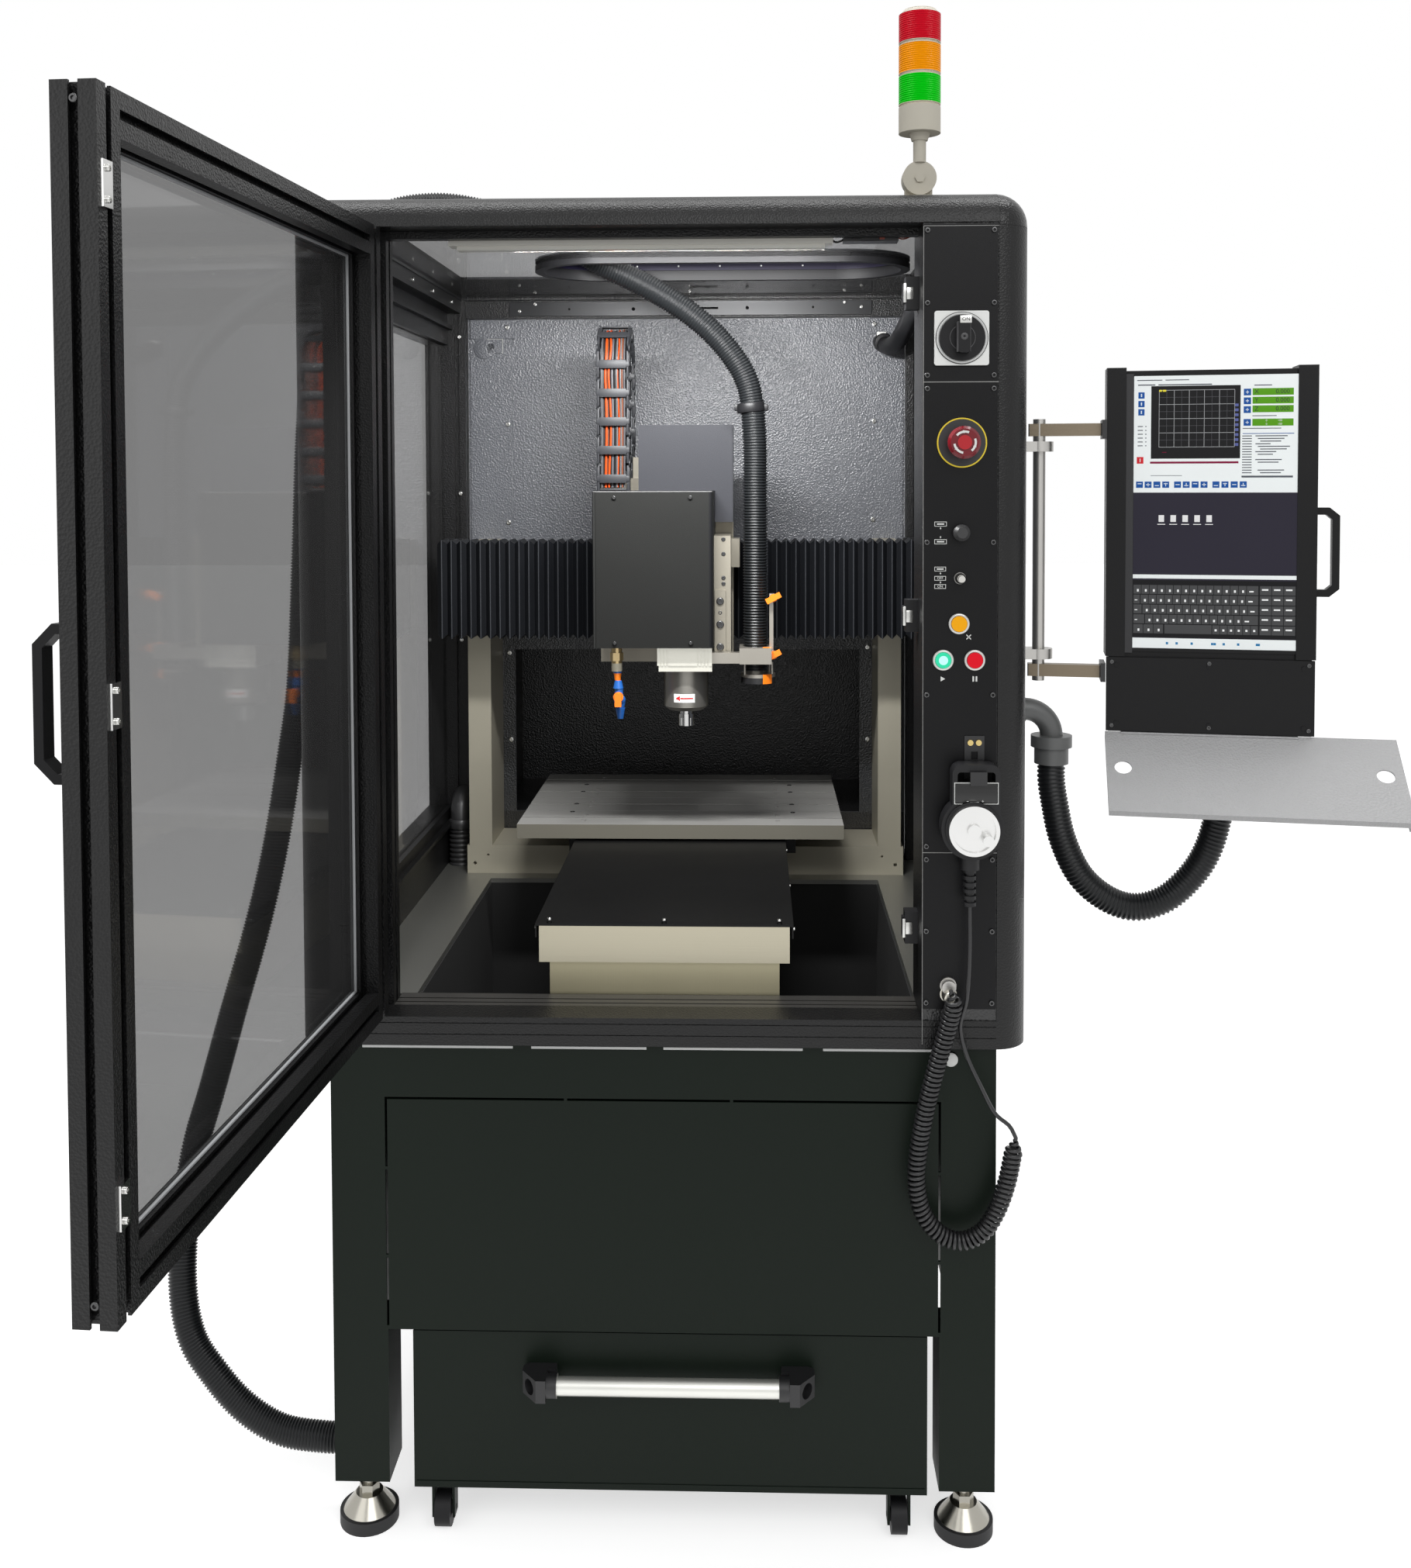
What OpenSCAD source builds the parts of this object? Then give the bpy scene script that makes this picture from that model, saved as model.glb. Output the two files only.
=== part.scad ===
// Enclosed desktop milling machine on a steel base cabinet, with a swing-out
// operator console. Millimetres, +Z up, -Y is the operator's side.
// Inside machine() X = 0 is the middle of the machine, Y = 0 its front plane
// and Z = 0 the floor. The whole part stands centred over its own origin.

/* [Enclosure] */
// Width of the enclosure over its side profiles
enc_w = 900; // [800:10:1000]
// Depth of the enclosure
enc_d = 840; // [760:5:1100]
// Height of the enclosure
enc_h = 1042; // [950:1:1200]
// Radius of the rounded edge profile
edge_r = 40; // [30:1:50]
// Width of the operator column right of the doorway
column_w = 91; // [80:1:110]

/* [Door] */
// Width of the door
door_w = 690; // [600:1:720]
// Height of the door
door_h = 960; // [900:1:960]
// Side of the square door extrusion
door_t = 37; // [30:1:45]
// Angle at which the door stands open
door_open = 93.6; // [0:0.1:110]

/* [Base cabinet] */
// Width of the base cabinet
base_w = 825; // [750:1:880]
// Height of the base cabinet without its feet
base_h = 559; // [450:1:700]
// Height of the levelling feet
foot_h = 72; // [50:1:100]
// Width of the corner legs
leg_w = 69; // [50:1:90]
// Thickness of the folded sheet
sheet = 3; // [2:0.5:5]

/* [Table and bed] */
// Width of the table
table_w = 514; // [400:1:560]
// Depth of the table
table_d = 394; // [300:1:420]
// Thickness of the table
table_t = 22; // [15:1:30]
// Height of the table face over the enclosure's underside
table_z = 152; // [140:1:166]
// Distance of the table front from the front plane
table_y = 518; // [118:1:530]
// Width of the bed beam
bed_w = 296; // [260:1:310]

/* [Gantry and spindle] */
// Width over the gantry columns
gantry_w = 730; // [600:1:780]
// Thickness of a gantry column
gantry_t = 38; // [25:1:50]
// Distance of the gantry from the front plane
gantry_y = 672; // [650:1:700]
// Middle of the spindle carriage, across the machine
carriage_x = -33; // [-200:1:200]
// Diameter of the spindle motor
spindle_d = 68; // [52:1:80]
// Height of the collet nut's lower face over the enclosure's underside
nose_z = 319; // [216:1:326]

/* [Console] */
// Width of the console
console_w = 255; // [220:1:320]
// Height of the console
console_h = 462; // [400:1:520]
// Turn of the console towards the operator
console_turn = 10.1; // [-40:0.1:60]

/* [Signal tower] */
// Diameter of the lamp segments
lamp_d = 52; // [40:1:70]

/* [Rolling bin] */
// Width of the rolling chip bin
bin_w = 643; // [500:1:660]
// Height of the bin's front
bin_h = 201; // [190:1:205]

/* [Hidden] */
$fn = 48;
gap = 0.3;

// Heights of the machine
base_z = foot_h;
strip_h = 3;
enc_z = base_z + base_h + strip_h;
enc_top = enc_z + enc_h;
roof_z = enc_top - edge_r;
half = enc_w / 2;
side_x = half - edge_r;

// Doorway and door
lip_h = 35;
lip_d = 42;
door_z = enc_z + lip_h + 6;
column_right = side_x + 0.5;
column_x = column_right - column_w;
pin_x = column_x - door_w - 1.5;
pin_d = 4;
knuckle_d = 8;
relief_d = 9.4;
leaf_t = 3;
hinge_z = [enc_z + 956, enc_z + 532, enc_z + 123];
latch_z = [enc_z + 924, enc_z + 526, enc_z + 136];
column_d = 96;
jamb_x = pin_x + 33;
slot_w = 8;
pane_t = 5;

// Interior
cavity_back = enc_d - edge_r;
floor_z = enc_z + 33;
floor_t = 7;
sill_y = 88;
hole_x = base_w / 2 - 92.5;
hole_y1 = cavity_back - 160;
wall_t = 2;
window_z = [enc_z + 126, roof_z - 76];
window_y = [70, enc_d - 70];
roof_x = side_x - 25;
roof_y = [75, enc_d - 75];
slot_x = 71;
slot_y = 396;
slot_l = 536;
slot_d = 192;

// Rear box and the opening into it
rear_open_x = table_w / 2 + 44;
rear_x = rear_open_x + 34;
rear_z = [enc_z + 111, enc_z + 396];
rear_d = 238;

// Base cabinet
base_y = 13;
base_x = base_w / 2;
base_top = base_z + base_h;
base_back = enc_d - base_y;
bay_x = base_x - leg_w;
cut = 3;
foot_x = base_x - 33.5;
foot_y = 50;
pad_d = 74;
port_y = 60;
port_z = 98;

// Bed and table
arm_dy = 95;
bed_y = [92, table_y + table_d / 2 + arm_dy + 42];
bed_z = [enc_z + 6, enc_z + 80];
tail_y = bed_y[1] + 4;
plate_w = bed_w + 26;
cover_w = bed_w + 36;
tail_x = cover_w / 2 + 24;
cover_z = enc_z + 126;
cover_t = 3;
table_top = enc_z + table_z;
rail_x = bed_w / 2 - 38;
rail_w = 20;
rail_h = 15;
drive_z = enc_z + 103;
drive_d = 16;

// Gantry
cross_z = [floor_z - floor_t, bed_z[1]];
gantry_back = cavity_back - wall_t - 3;
bellows_x = gantry_w / 2 + 24;
bellows_y = 560;
bellows_z = [enc_z + 440, enc_z + 598];
pleat = 7;
pleats = 16;
beam_y = 622;
beam_t = 20;
way_z = [bellows_z[0] + 34, bellows_z[1] - 34];
way_d = 16;

// Spindle carriage
cover_box_w = 180;
cover_box_z = [bellows_z[0] + 4, bellows_z[0] + 237];
cover_box_y = 400;
slide_y = 545;
slide_t = bellows_y - slide_y;
slide_x = [carriage_x - cover_box_w / 2 - 2, carriage_x + 118];
guide_x = slide_x[1] - 28;
spindle_x = carriage_x + 46;
spindle_y = 465;
motor_z = enc_z + 344;
nut_z = enc_z + nose_z;
shaft_bore = 20;
nozzle_x = carriage_x - 57;
nozzle_y = 432;
dust_x = carriage_x + 152;
dust_y = 450;
dust_d = 37;
chain_x = carriage_x - 66;

// Console
shaft_x = half + 37.5;
shaft_y = 150;
shaft_d = 16;
arm_z = [enc_z + 446, enc_z + 758];
arm_t = 16;
console_x = 84;
console_y = -14;
console_t = 45;
console_z = enc_z + 370;
tray_w = 350;
tray_l = 131;
tray_tilt = 38;
elbow_z = enc_z + 394;
elbow_r = 35;

// Operator column
isolator_pos = [column_x + 45.5, enc_z + 864];
estop_pos = [column_x + 46.5, enc_z + 739];
selector_pos = [column_x + 45.5, enc_z + 631];
toggle_pos = [column_x + 44.5, enc_z + 576];
button_pos = [for (p = [[43.5, 521], [24.5, 477], [62.5, 477]]) [column_x + p[0], enc_z + p[1]]];
panel_z = [enc_z + 50, enc_z + 242, enc_z + 812, roof_z - 1];
panel_t = 1.1;
stem_d = 10;
button_stem = 14;
cap_d = 18.8;
button_d = 25;
fit = 0.1;
pendant_x = column_x + 56.5;
pendant_y = -9;
pendant_z = enc_z + 279;
wheel_d = 60;
plug_pos = [column_x + 31.5, enc_z + 80];

// Signal tower
tower_x = column_x + 4.5;
tower_y = 82;
tower_z = enc_top + 29;
fold_d = 42;

// Rolling bin
bin_x = 8;
bin_y = 18;
bin_z = 63;
bin_d = 620;
wheel_r = 22;
axle_d = 6;
castor_x = bin_w / 2 - 33.5;
castor_y = [24, bin_d - 60];
bay_top = bin_z + bin_h + 4;
field_z = [bay_top + 5, bay_top + 295];

// The part's origin lies under the middle of its bounding box
reach_right = shaft_x + (console_x + tray_w) * cos(console_turn) + console_y * sin(console_turn);
origin_x = (reach_right - half) / 2;
origin_y = (enc_d + rear_d - door_w) / 2;

// ---- shared shapes -------------------------------------------------------

// Children placed in the machine's own frame
module machine() {
  translate([-origin_x, -origin_y, 0]) children();
}

// A block between two values on each axis
module block(x, y, z) {
  translate([x[0], y[0], z[0]]) cube([x[1] - x[0], y[1] - y[0], z[1] - z[0]]);
}

// A cylinder along -Y from the point p
module boss(p, d, len, fn = 32) {
  translate(p) rotate([90, 0, 0]) cylinder(d = d, h = len, $fn = fn);
}

// A block with rounded vertical edges, from the middle of its base
module round_block(size, r) {
  linear_extrude(size[2]) round_rect(size[0], size[1], r);
}

// A rectangle with round corners, about its middle
module round_rect(w, h, r) {
  square([w - 2 * r, h], center = true);
  square([w, h - 2 * r], center = true);
  for (x = [-1, 1], y = [-1, 1])
    translate([x * (w / 2 - r), y * (h / 2 - r)]) circle(r, $fn = 32);
}

// A flexible tube swept along points, with the given number of sides
module tube_along(points, d, sides = 10) {
  last = len(points) - 1;
  function along(i) = let (v = points[min(i + 1, last)] - points[max(i - 1, 0)]) v / norm(v);
  function across(t) = let (u = cross(t, [0.31, 0.92, 0.24])) u / norm(u);
  rings = [for (i = [0:last]) let (t = along(i), u = across(t), v = cross(t, u))
    for (k = [0:sides - 1]) points[i] + d / 2 * (u * cos(360 * k / sides) + v * sin(360 * k / sides))];
  walls = [for (i = [0:last - 1], k = [0:sides - 1]) let (n = (k + 1) % sides)
    [i * sides + k, i * sides + n, (i + 1) * sides + n, (i + 1) * sides + k]];
  ends = [[for (k = [sides - 1:-1:0]) k], [for (k = [0:sides - 1]) last * sides + k]];
  polyhedron(rings, concat(walls, ends), convexity = 8);
}

// Square aluminium extrusion with a slot in each side, along +Z
module slotted_bar(len, side = door_t) {
  linear_extrude(len) slotted_section(side);
}

module slotted_section(side) {
  mouth = 3;
  well = 6;
  difference() {
    square(side, center = true);
    for (a = [0:90:270]) rotate(a) {
      translate([side / 2 - mouth - well, -slot_w / 2]) square([mouth + well + 1, slot_w]);
      translate([side / 2 - mouth - well, -slot_w]) square([well, slot_w * 2]);
    }
  }
}

// ---- base cabinet --------------------------------------------------------

// One folded steel sheet: top, sides, bay of the rolling bin and front field
module base_cabinet() machine() color("#1b1f1d") {
  difference() {
    block([-base_x, base_x], [base_y, base_back], [base_z, base_top]);
    block([-base_x + sheet, base_x - sheet], [base_y + sheet, base_back - sheet],
          [base_z - 1, base_top - sheet]);
    block([-bay_x, bay_x], [base_y - 1, base_y + sheet + 1], [base_z - 1, bay_top]);
    block([-hole_x, hole_x], [sill_y, hole_y1], [base_top - sheet - 1, base_top + 1]);
    base_field_cuts();
    boss([base_x - 56, base_y + sheet + 1, base_top - 14], 18, sheet + 2);
    hose_port();
  }
  difference() {
    for (s = [-1, 1], y = [base_y + sheet, base_back - leg_w + sheet]) base_leg(s, y);
    hose_port();
  }
}

// Bore that takes the dust hose, through the left side and into its leg
module hose_port() {
  translate([-base_x - 1, port_y, port_z]) rotate([0, 90, 0])
    cylinder(d = dust_d + 2 * gap, h = 14);
}

// Narrow laser cuts round the front field, with the tabs that hold it
module base_field_cuts() {
  y = [base_y - 1, base_y + sheet + 1];
  tab = 4;
  for (s = [[-bay_x, -121], [-121 + tab, 85], [85 + tab, bay_x]])
    block(s, y, [field_z[1] - cut, field_z[1]]);
  z = [field_z[0] + 86, field_z[0] + 198];
  for (side = [-1, 1], s = [[field_z[0], z[0]], [z[0] + tab, z[1]], [z[1] + tab, field_z[1]]])
    block([side * bay_x - cut / 2, side * bay_x + cut / 2], y, s);
}

// One closed corner leg
module base_leg(side, y) {
  w = leg_w - sheet;
  x = side * (base_x - sheet - w / 2);
  block([x - w / 2, x + w / 2], [y, y + w - sheet], [base_z, bay_top]);
}

// Four screw feet: rubber pad, plated cup, lock nut and stem
module levelling_feet() machine() color("#b9bcbd")
  for (x = [-foot_x, foot_x], y = [foot_y, enc_d - foot_y]) translate([x, y, 0]) {
    cylinder(d = pad_d, h = 16);
    translate([0, 0, 16]) cylinder(d1 = pad_d - 8, d2 = 34, h = 20);
    translate([0, 0, 36]) cylinder(d = 26, h = 12, $fn = 6);
    translate([0, 0, 48]) cylinder(d = 16, h = foot_h - 48);
    translate([0, 0, foot_h - 12]) cylinder(d = 30, h = 12, $fn = 6);
  }

// ---- enclosure -----------------------------------------------------------

// Skeleton of rounded edge profiles with its posts, lip and inner rails
module enclosure_frame() machine() color("#191919") {
  difference() {
    rounded_case();
    block([-side_x, side_x], [lip_d, cavity_back], [floor_z - floor_t, roof_z]);
    block([-side_x + 14, side_x - 14], [lip_d + 14, cavity_back - 14], [enc_z - 1, roof_z]);
    block([pin_x - 0.5, column_right - gap], [-1, lip_d + 1], [enc_z + lip_h, roof_z + 1]);
    block([-half - 1, half + 1], window_y, window_z);
    block([-roof_x, roof_x], roof_y, [roof_z - 1, enc_top + 1]);
    block([-side_x + 30, side_x - 30], [cavity_back - 1, enc_d + 1], [enc_z + lip_h, roof_z - 30]);
    block([-tail_x - sheet, tail_x + sheet], [cavity_back - 20, enc_d + 1],
          [enc_z - 1, enc_z + lip_h + 1]);
    for (z = [enc_z + 13, enc_z + 27]) block([-side_x, side_x], [-1, 1.2], [z, z + 1.2]);
    for (z = hinge_z) translate([pin_x, 0, z - 26]) cylinder(d = relief_d, h = 52);
    for (z = [enc_z + 70, roof_z - 60], s = [-1, 1])
      boss([s * (side_x + 4), enc_d + 1, z], 9, 6, 24);
  }
  inner_posts();
  inner_rails();
  block([side_x, half - 3], [shaft_y - 22, shaft_y + 22], [window_z[0] - 1, window_z[1] + 1]);
  for (z = hinge_z) hinge_leaf(z);
}

// Case outline: a block with rounded upright and upper edges
module rounded_case() {
  r = edge_r;
  block([-half, half], [r, enc_d - r], [enc_z, roof_z]);
  block([-side_x, side_x], [0, enc_d], [enc_z, roof_z]);
  block([-side_x, side_x], [r, enc_d - r], [roof_z - 1, enc_top]);
  for (x = [-side_x, side_x], y = [r, enc_d - r]) translate([x, y, enc_z]) {
    cylinder(r = r, h = roof_z - enc_z, $fn = 64);
    translate([0, 0, roof_z - enc_z]) sphere(r, $fn = 64);
  }
  for (y = [r, enc_d - r]) translate([-side_x, y, roof_z])
    rotate([0, 90, 0]) cylinder(r = r, h = 2 * side_x, $fn = 64);
  for (x = [-side_x, side_x]) translate([x, r, roof_z])
    rotate([-90, 0, 0]) cylinder(r = r, h = enc_d - 2 * r, $fn = 64);
}

// Slotted stop behind the hinge side and the two slotted rear posts
module inner_posts() {
  difference() {
    block([-side_x - 1, jamb_x], [lip_d, lip_d + 35], [floor_z - floor_t, roof_z + 1]);
    block([jamb_x - 8, jamb_x + 1], [lip_d + 14, lip_d + 22], [floor_z - 20, roof_z]);
    block([-side_x + 22, -side_x + 30], [lip_d + 28, lip_d + 36], [floor_z - 20, roof_z]);
  }
  for (s = [-1, 1]) difference() {
    block([s * (side_x - 14.75) - 15.25, s * (side_x - 14.75) + 15.25], [cavity_back - 30, cavity_back + 1],
          [floor_z, roof_z + 1]);
    block([s * (side_x - 15) - 4, s * (side_x - 15) + 4], [cavity_back - 31, cavity_back - 24],
          [floor_z - 1, roof_z]);
    block([s * (side_x - 30) - 6, s * (side_x - 30) + 6], [cavity_back - 19, cavity_back - 11],
          [floor_z - 1, roof_z]);
  }
}

// Rails under the roof, along the side walls and behind the doorway head
module inner_rails() {
  y = [lip_d + 34, cavity_back - 29];
  for (s = [-1, 1]) {
    run = [s < 0 ? lip_d + 34 : column_d, y[1]];
    block([s * (side_x - 11) - 12, s * (side_x - 11) + 12], run, [roof_z - 22, roof_z + 1]);
    for (z = [window_z[0] - 24, window_z[1] + 26])
      block([s * (side_x - 4) - 5, s * (side_x - 4) + 5], run, [z, z + 6]);
  }
  block([jamb_x - 1, column_x], [lip_d, lip_d + 16], [roof_z - 8, roof_z + 1]);
  block([-side_x + 29, side_x - 29], [cavity_back - 22, cavity_back], [roof_z - 30, roof_z + 1]);
}

// Fixed leaf of a door hinge with its two knuckles, pin and screws
module hinge_leaf(z) {
  h = knuckle_d / 2 + 0.4;
  block([pin_x - 25, pin_x - h], [-leaf_t, 0.1], [z - 25, z + 25]);
  for (e = [[z - 25, z - 8.3], [z + 8.3, z + 25]]) {
    translate([pin_x, 0, e[0]]) cylinder(d = knuckle_d, h = e[1] - e[0]);
    block([pin_x - h - 1, pin_x - 1], [-leaf_t, -1], e);
  }
  translate([pin_x, 0, z - 25]) cylinder(d = pin_d, h = 50);
  for (s = [-13.5, 13.5]) boss([pin_x - 15, -leaf_t + 0.2, z + s], 9, 3);
}

// Textured back and side panels, operator column and rear box
module wall_panels() machine() color("#25272a") {
  back_panels();
  side_panel();
  rear_box();
  column_body();
}

// Back wall sheet round its opening, with two raised side fields
module back_panels() {
  y = [cavity_back - wall_t, cavity_back];
  x = side_x - 30 - gap;
  difference() {
    union() {
      block([-x, x], y, [floor_z + gap, roof_z - 30 - gap]);
      for (s = [-1, 1]) block([s * (rear_open_x + 45) - 30, s * (rear_open_x + 45) + 30],
                              [y[0] - 3, y[1]], [rear_z[1] + 38, roof_z - 40]);
    }
    block([-rear_open_x, rear_open_x], [y[0] - 9, y[1] + 1], rear_z);
    block([-tail_x, tail_x], [y[0] - 9, y[1] + 1], [floor_z - 9, rear_z[0] + 1]);
  }
  frame = 23;
  difference() {
    block([-rear_open_x - frame, rear_open_x + frame], [y[0] - 2, y[0] + 0.1],
          [rear_z[0] - frame, rear_z[1] + frame]);
    block([-rear_open_x, rear_open_x], [y[0] - 9, y[1]], rear_z);
    block([-tail_x, tail_x], [y[0] - 9, y[1]], [floor_z, rear_z[0] + 1]);
  }
}

// Closed panel of the right side, flush with the frame's outer face
module side_panel() {
  block([half - 3, half], window_y, window_z);
}

// Sheet box behind the back wall that takes the table's tail
module rear_box() {
  y = [cavity_back - 0.1, enc_d + rear_d];
  difference() {
    block([-rear_x, rear_x], y, [rear_z[0] - sheet, rear_z[1] + sheet]);
    block([-rear_x + sheet, rear_x - sheet], [y[0] - 1, y[1] - sheet], rear_z);
    block([-tail_x, tail_x], [y[0] - 1, tail_y], [rear_z[0] - sheet - 1, rear_z[0] + 1]);
  }
  difference() {
    block([-tail_x - sheet, tail_x + sheet], [y[0], tail_y + sheet], [enc_z, rear_z[0] - 0.1]);
    block([-tail_x, tail_x], [y[0] - 1, tail_y], [enc_z + sheet, rear_z[0] + 1]);
  }
}

// Folded box of the operator column, open at its back
module column_body() {
  difference() {
    block([column_x, column_right - 2 * gap], [1.5, column_d], [enc_z + lip_h, roof_z]);
    block([column_x + wall_t, column_right - 3], [4, column_d + 1],
          [enc_z + lip_h + 3, roof_z - 3]);
    control_holes();
  }
}

// Clear panes of the left wall and the roof
module windows() machine() color("#8a8f93", 0.35) {
  block([-side_x - 13, -side_x - 13 + pane_t], window_y, window_z);
  difference() {
    block([-roof_x, roof_x], roof_y, [roof_z + 4, roof_z + 4 + pane_t]);
    translate([slot_x, slot_y, roof_z]) round_block([slot_l, slot_d, 20], slot_d / 2 - 0.5);
  }
}

// Rubber edging round the hose slot of the roof
module roof_slot_trim() machine() color("#0d0d0f")
  translate([slot_x, slot_y, roof_z - 4]) difference() {
    union() {
      round_block([slot_l + 12, slot_d + 12, 8], slot_d / 2 + 5.5);
      round_block([slot_l, slot_d, 8 + pane_t], slot_d / 2 - 0.5);
      translate([0, 0, 8 + pane_t]) round_block([slot_l + 12, slot_d + 12, 5], slot_d / 2 + 5.5);
    }
    translate([0, 0, -1]) round_block([slot_l - 14, slot_d - 14, 30], slot_d / 2 - 7.5);
  }

// Grey floor sheet round the chip opening and the gantry's foot
module floor_sheet() machine() color("#8d8e8a") difference() {
  block([-side_x, side_x], [sill_y, cavity_back - 30.3], [floor_z - floor_t, floor_z]);
  block([-hole_x, hole_x], [sill_y - 1, hole_y1], [floor_z - 9, floor_z + 1]);
  block([-gantry_w / 2 - 0.3, gantry_w / 2 + 0.3], [gantry_y - 0.3, cavity_back],
        [floor_z - 9, floor_z + 1]);
  block([-bed_w / 2 - 0.3, bed_w / 2 + 0.3], [hole_y1 - 1, cavity_back], [floor_z - 9, floor_z + 1]);
}

// Black chute from the floor opening down to the bin
module chip_chute() machine() color("#08090a") difference() {
  block([-hole_x + gap, hole_x - gap], [sill_y + gap, hole_y1 - gap], [bay_top + 12, floor_z - floor_t]);
  block([-hole_x + gap + wall_t, hole_x - gap - wall_t], [sill_y + gap + wall_t, hole_y1 - gap - wall_t],
        [bay_top + 11, floor_z]);
  block([-bed_w / 2 - 4, bed_w / 2 + 4], [sill_y - 1, hole_y1 + 1], [base_top - sheet, floor_z]);
}

// Bare aluminium: the ribbed door sill and the spacer strips over the base
module sill_strips() machine() color("#a9aaa6") {
  difference() {
    block([jamb_x, column_x], [lip_d, sill_y], [floor_z - floor_t, floor_z + 1]);
    for (y = [54, 68]) block([jamb_x - 1, column_x + 1], [y, y + 3], [floor_z - 0.5, floor_z + 2]);
  }
  for (x = [[-372, -184], [-161, -18], [3, 175], [200, 335]])
    block(x, [base_y + 0.5, base_y + 30], [base_top, enc_z]);
  for (s = [-1, 1]) block([s * (base_x - 19) - 15, s * (base_x - 19) + 15],
                          [120, base_back - 47], [base_top, enc_z]);
}

// Clear lamp bar and its housing behind the front roof profile
module work_lamp() machine() color("#d9d7cf") {
  block([-265, 215], [lip_d + 18, lip_d + 44], [roof_z - 14, roof_z]);
  block([-255, 205], [lip_d + 22, lip_d + 40], [roof_z - 19, roof_z - 14]);
  block([228, 296], [lip_d + 18, lip_d + 42], [roof_z - 12, roof_z]);
}

// ---- door ----------------------------------------------------------------

// Children given for the closed door, with the hinge pin as origin
module door_place() {
  machine() translate([pin_x, 0, 0]) rotate([0, 0, -door_open]) children();
}

// Two stiles and two rails of slotted extrusion, with the moving hinge leaves
module door_frame() door_place() color("#1c1c1b") {
  h = door_t / 2;
  difference() {
    translate([h, h, door_z]) slotted_bar(door_h);
    for (z = hinge_z) translate([0, 0, z - 26]) cylinder(d = relief_d, h = 52);
  }
  translate([door_w - h, h, door_z]) slotted_bar(door_h);
  for (z = [door_z + h, door_z + door_h - h])
    translate([door_t, h, z]) rotate([0, 90, 0]) slotted_bar(door_w - 2 * door_t);
  for (z = hinge_z) difference() {
    union() {
      block([knuckle_d / 2 + 1, 24], [-leaf_t, 0.1], [z - 25, z + 25]);
      block([0, knuckle_d / 2 + 1.1], [-leaf_t, -1], [z - 8, z + 8]);
      translate([0, 0, z - 8]) cylinder(d = knuckle_d, h = 16);
    }
    translate([0, 0, z - 9]) cylinder(d = pin_d + fit, h = 18);
  }
}

// Clear pane, let into the frame behind its outer face
module door_pane() door_place() color("#8a8f93", 0.35)
  block([door_t, door_w - door_t], [2, 2 + pane_t],
        [door_z + door_t, door_z + door_h - door_t]);

// Flat bar pull with bevelled corners, on the outer face
module door_handle() door_place() color("#141414")
  translate([door_w - door_t / 2 + 8, 0, door_z + 423]) rotate([0, -90, 0]) rotate([0, 0, -90])
    linear_extrude(16) polygon([
      [0, 0], [12, 0], [28, 16], [28, 109], [12, 125], [0, 125],
      [0, 117], [9, 117], [20, 106], [20, 19], [9, 8], [0, 8]]);

// Three steel catch plates on the inner face of the free stile
module catch_plates() door_place() color("#c9ccce")
  for (z = latch_z) difference() {
    block([door_w - 18, door_w - 3], [door_t, door_t + leaf_t], [z - 18, z + 18]);
    for (s = [-12, 12]) boss([door_w - 10.5, door_t + leaf_t + 1, z + s], 4, 3, 16);
  }

// Magnet catches on the inner side of the column
module door_latches() machine() color("#2a2b2d")
  for (z = latch_z) {
    block([column_x - 16, column_x], [lip_d + 2, lip_d + 22], [z - 20, z + 20]);
    block([column_x - 19, column_x - 16], [lip_d + 6, lip_d + 18], [z - 12, z + 12]);
  }

// ---- bed and table -------------------------------------------------------

// Closed bed beam on its two feet
module bed_beam() machine() color("#8f8b80") {
  block([-bed_w / 2, bed_w / 2], bed_y, bed_z);
  for (y = [[sill_y - 28, sill_y + 10], [hole_y1 + 8, gantry_y - 4]])
    block([-bed_w / 2, bed_w / 2], y, [base_top, bed_z[0] + 0.1]);
}

// Black cover sheet over the rails, folded down at its long sides
module bed_cover() machine() color("#101112") {
  x = cover_w / 2;
  y = [bed_y[0] - 6.4, bed_y[1]];
  block([-x, x], y, [cover_z - cover_t, cover_z]);
  for (s = [-1, 1]) block([s * (x - 1) - 1, s * (x - 1) + 1], y, [cover_z - 18, cover_z]);
  for (sx = [-148, 0, 148]) translate([sx, bed_y[0] - 2, cover_z]) cylinder(d = 7, h = 2, $fn = 24);
}

// Bright end plates, linear rails and the ball screw of the table drive
module bed_rails() machine() color("#a7a59c") {
  x = plate_w / 2;
  block([-x, x], [bed_y[0] - 6, bed_y[0]], [bed_z[1] - 4, cover_z - cover_t]);
  block([-x, x], [bed_y[1] - 12, bed_y[1] - 0.5], [bed_z[1], cover_z - cover_t]);
  for (s = [-1, 1]) {
    block([s * rail_x - rail_w / 2, s * rail_x + rail_w / 2], [bed_y[0] + 6, bed_y[1] - 13],
          [bed_z[1], bed_z[1] + rail_h]);
    block([s * (x - 2) - 2, s * (x - 2) + 2], [bed_y[0] - 1, bed_y[0] + 30],
          [bed_z[1], cover_z - cover_t]);
  }
  translate([0, bed_y[0] - 1, drive_z]) rotate([-90, 0, 0])
    cylinder(d = drive_d, h = bed_y[1] - bed_y[0] - 10);
}

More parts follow.
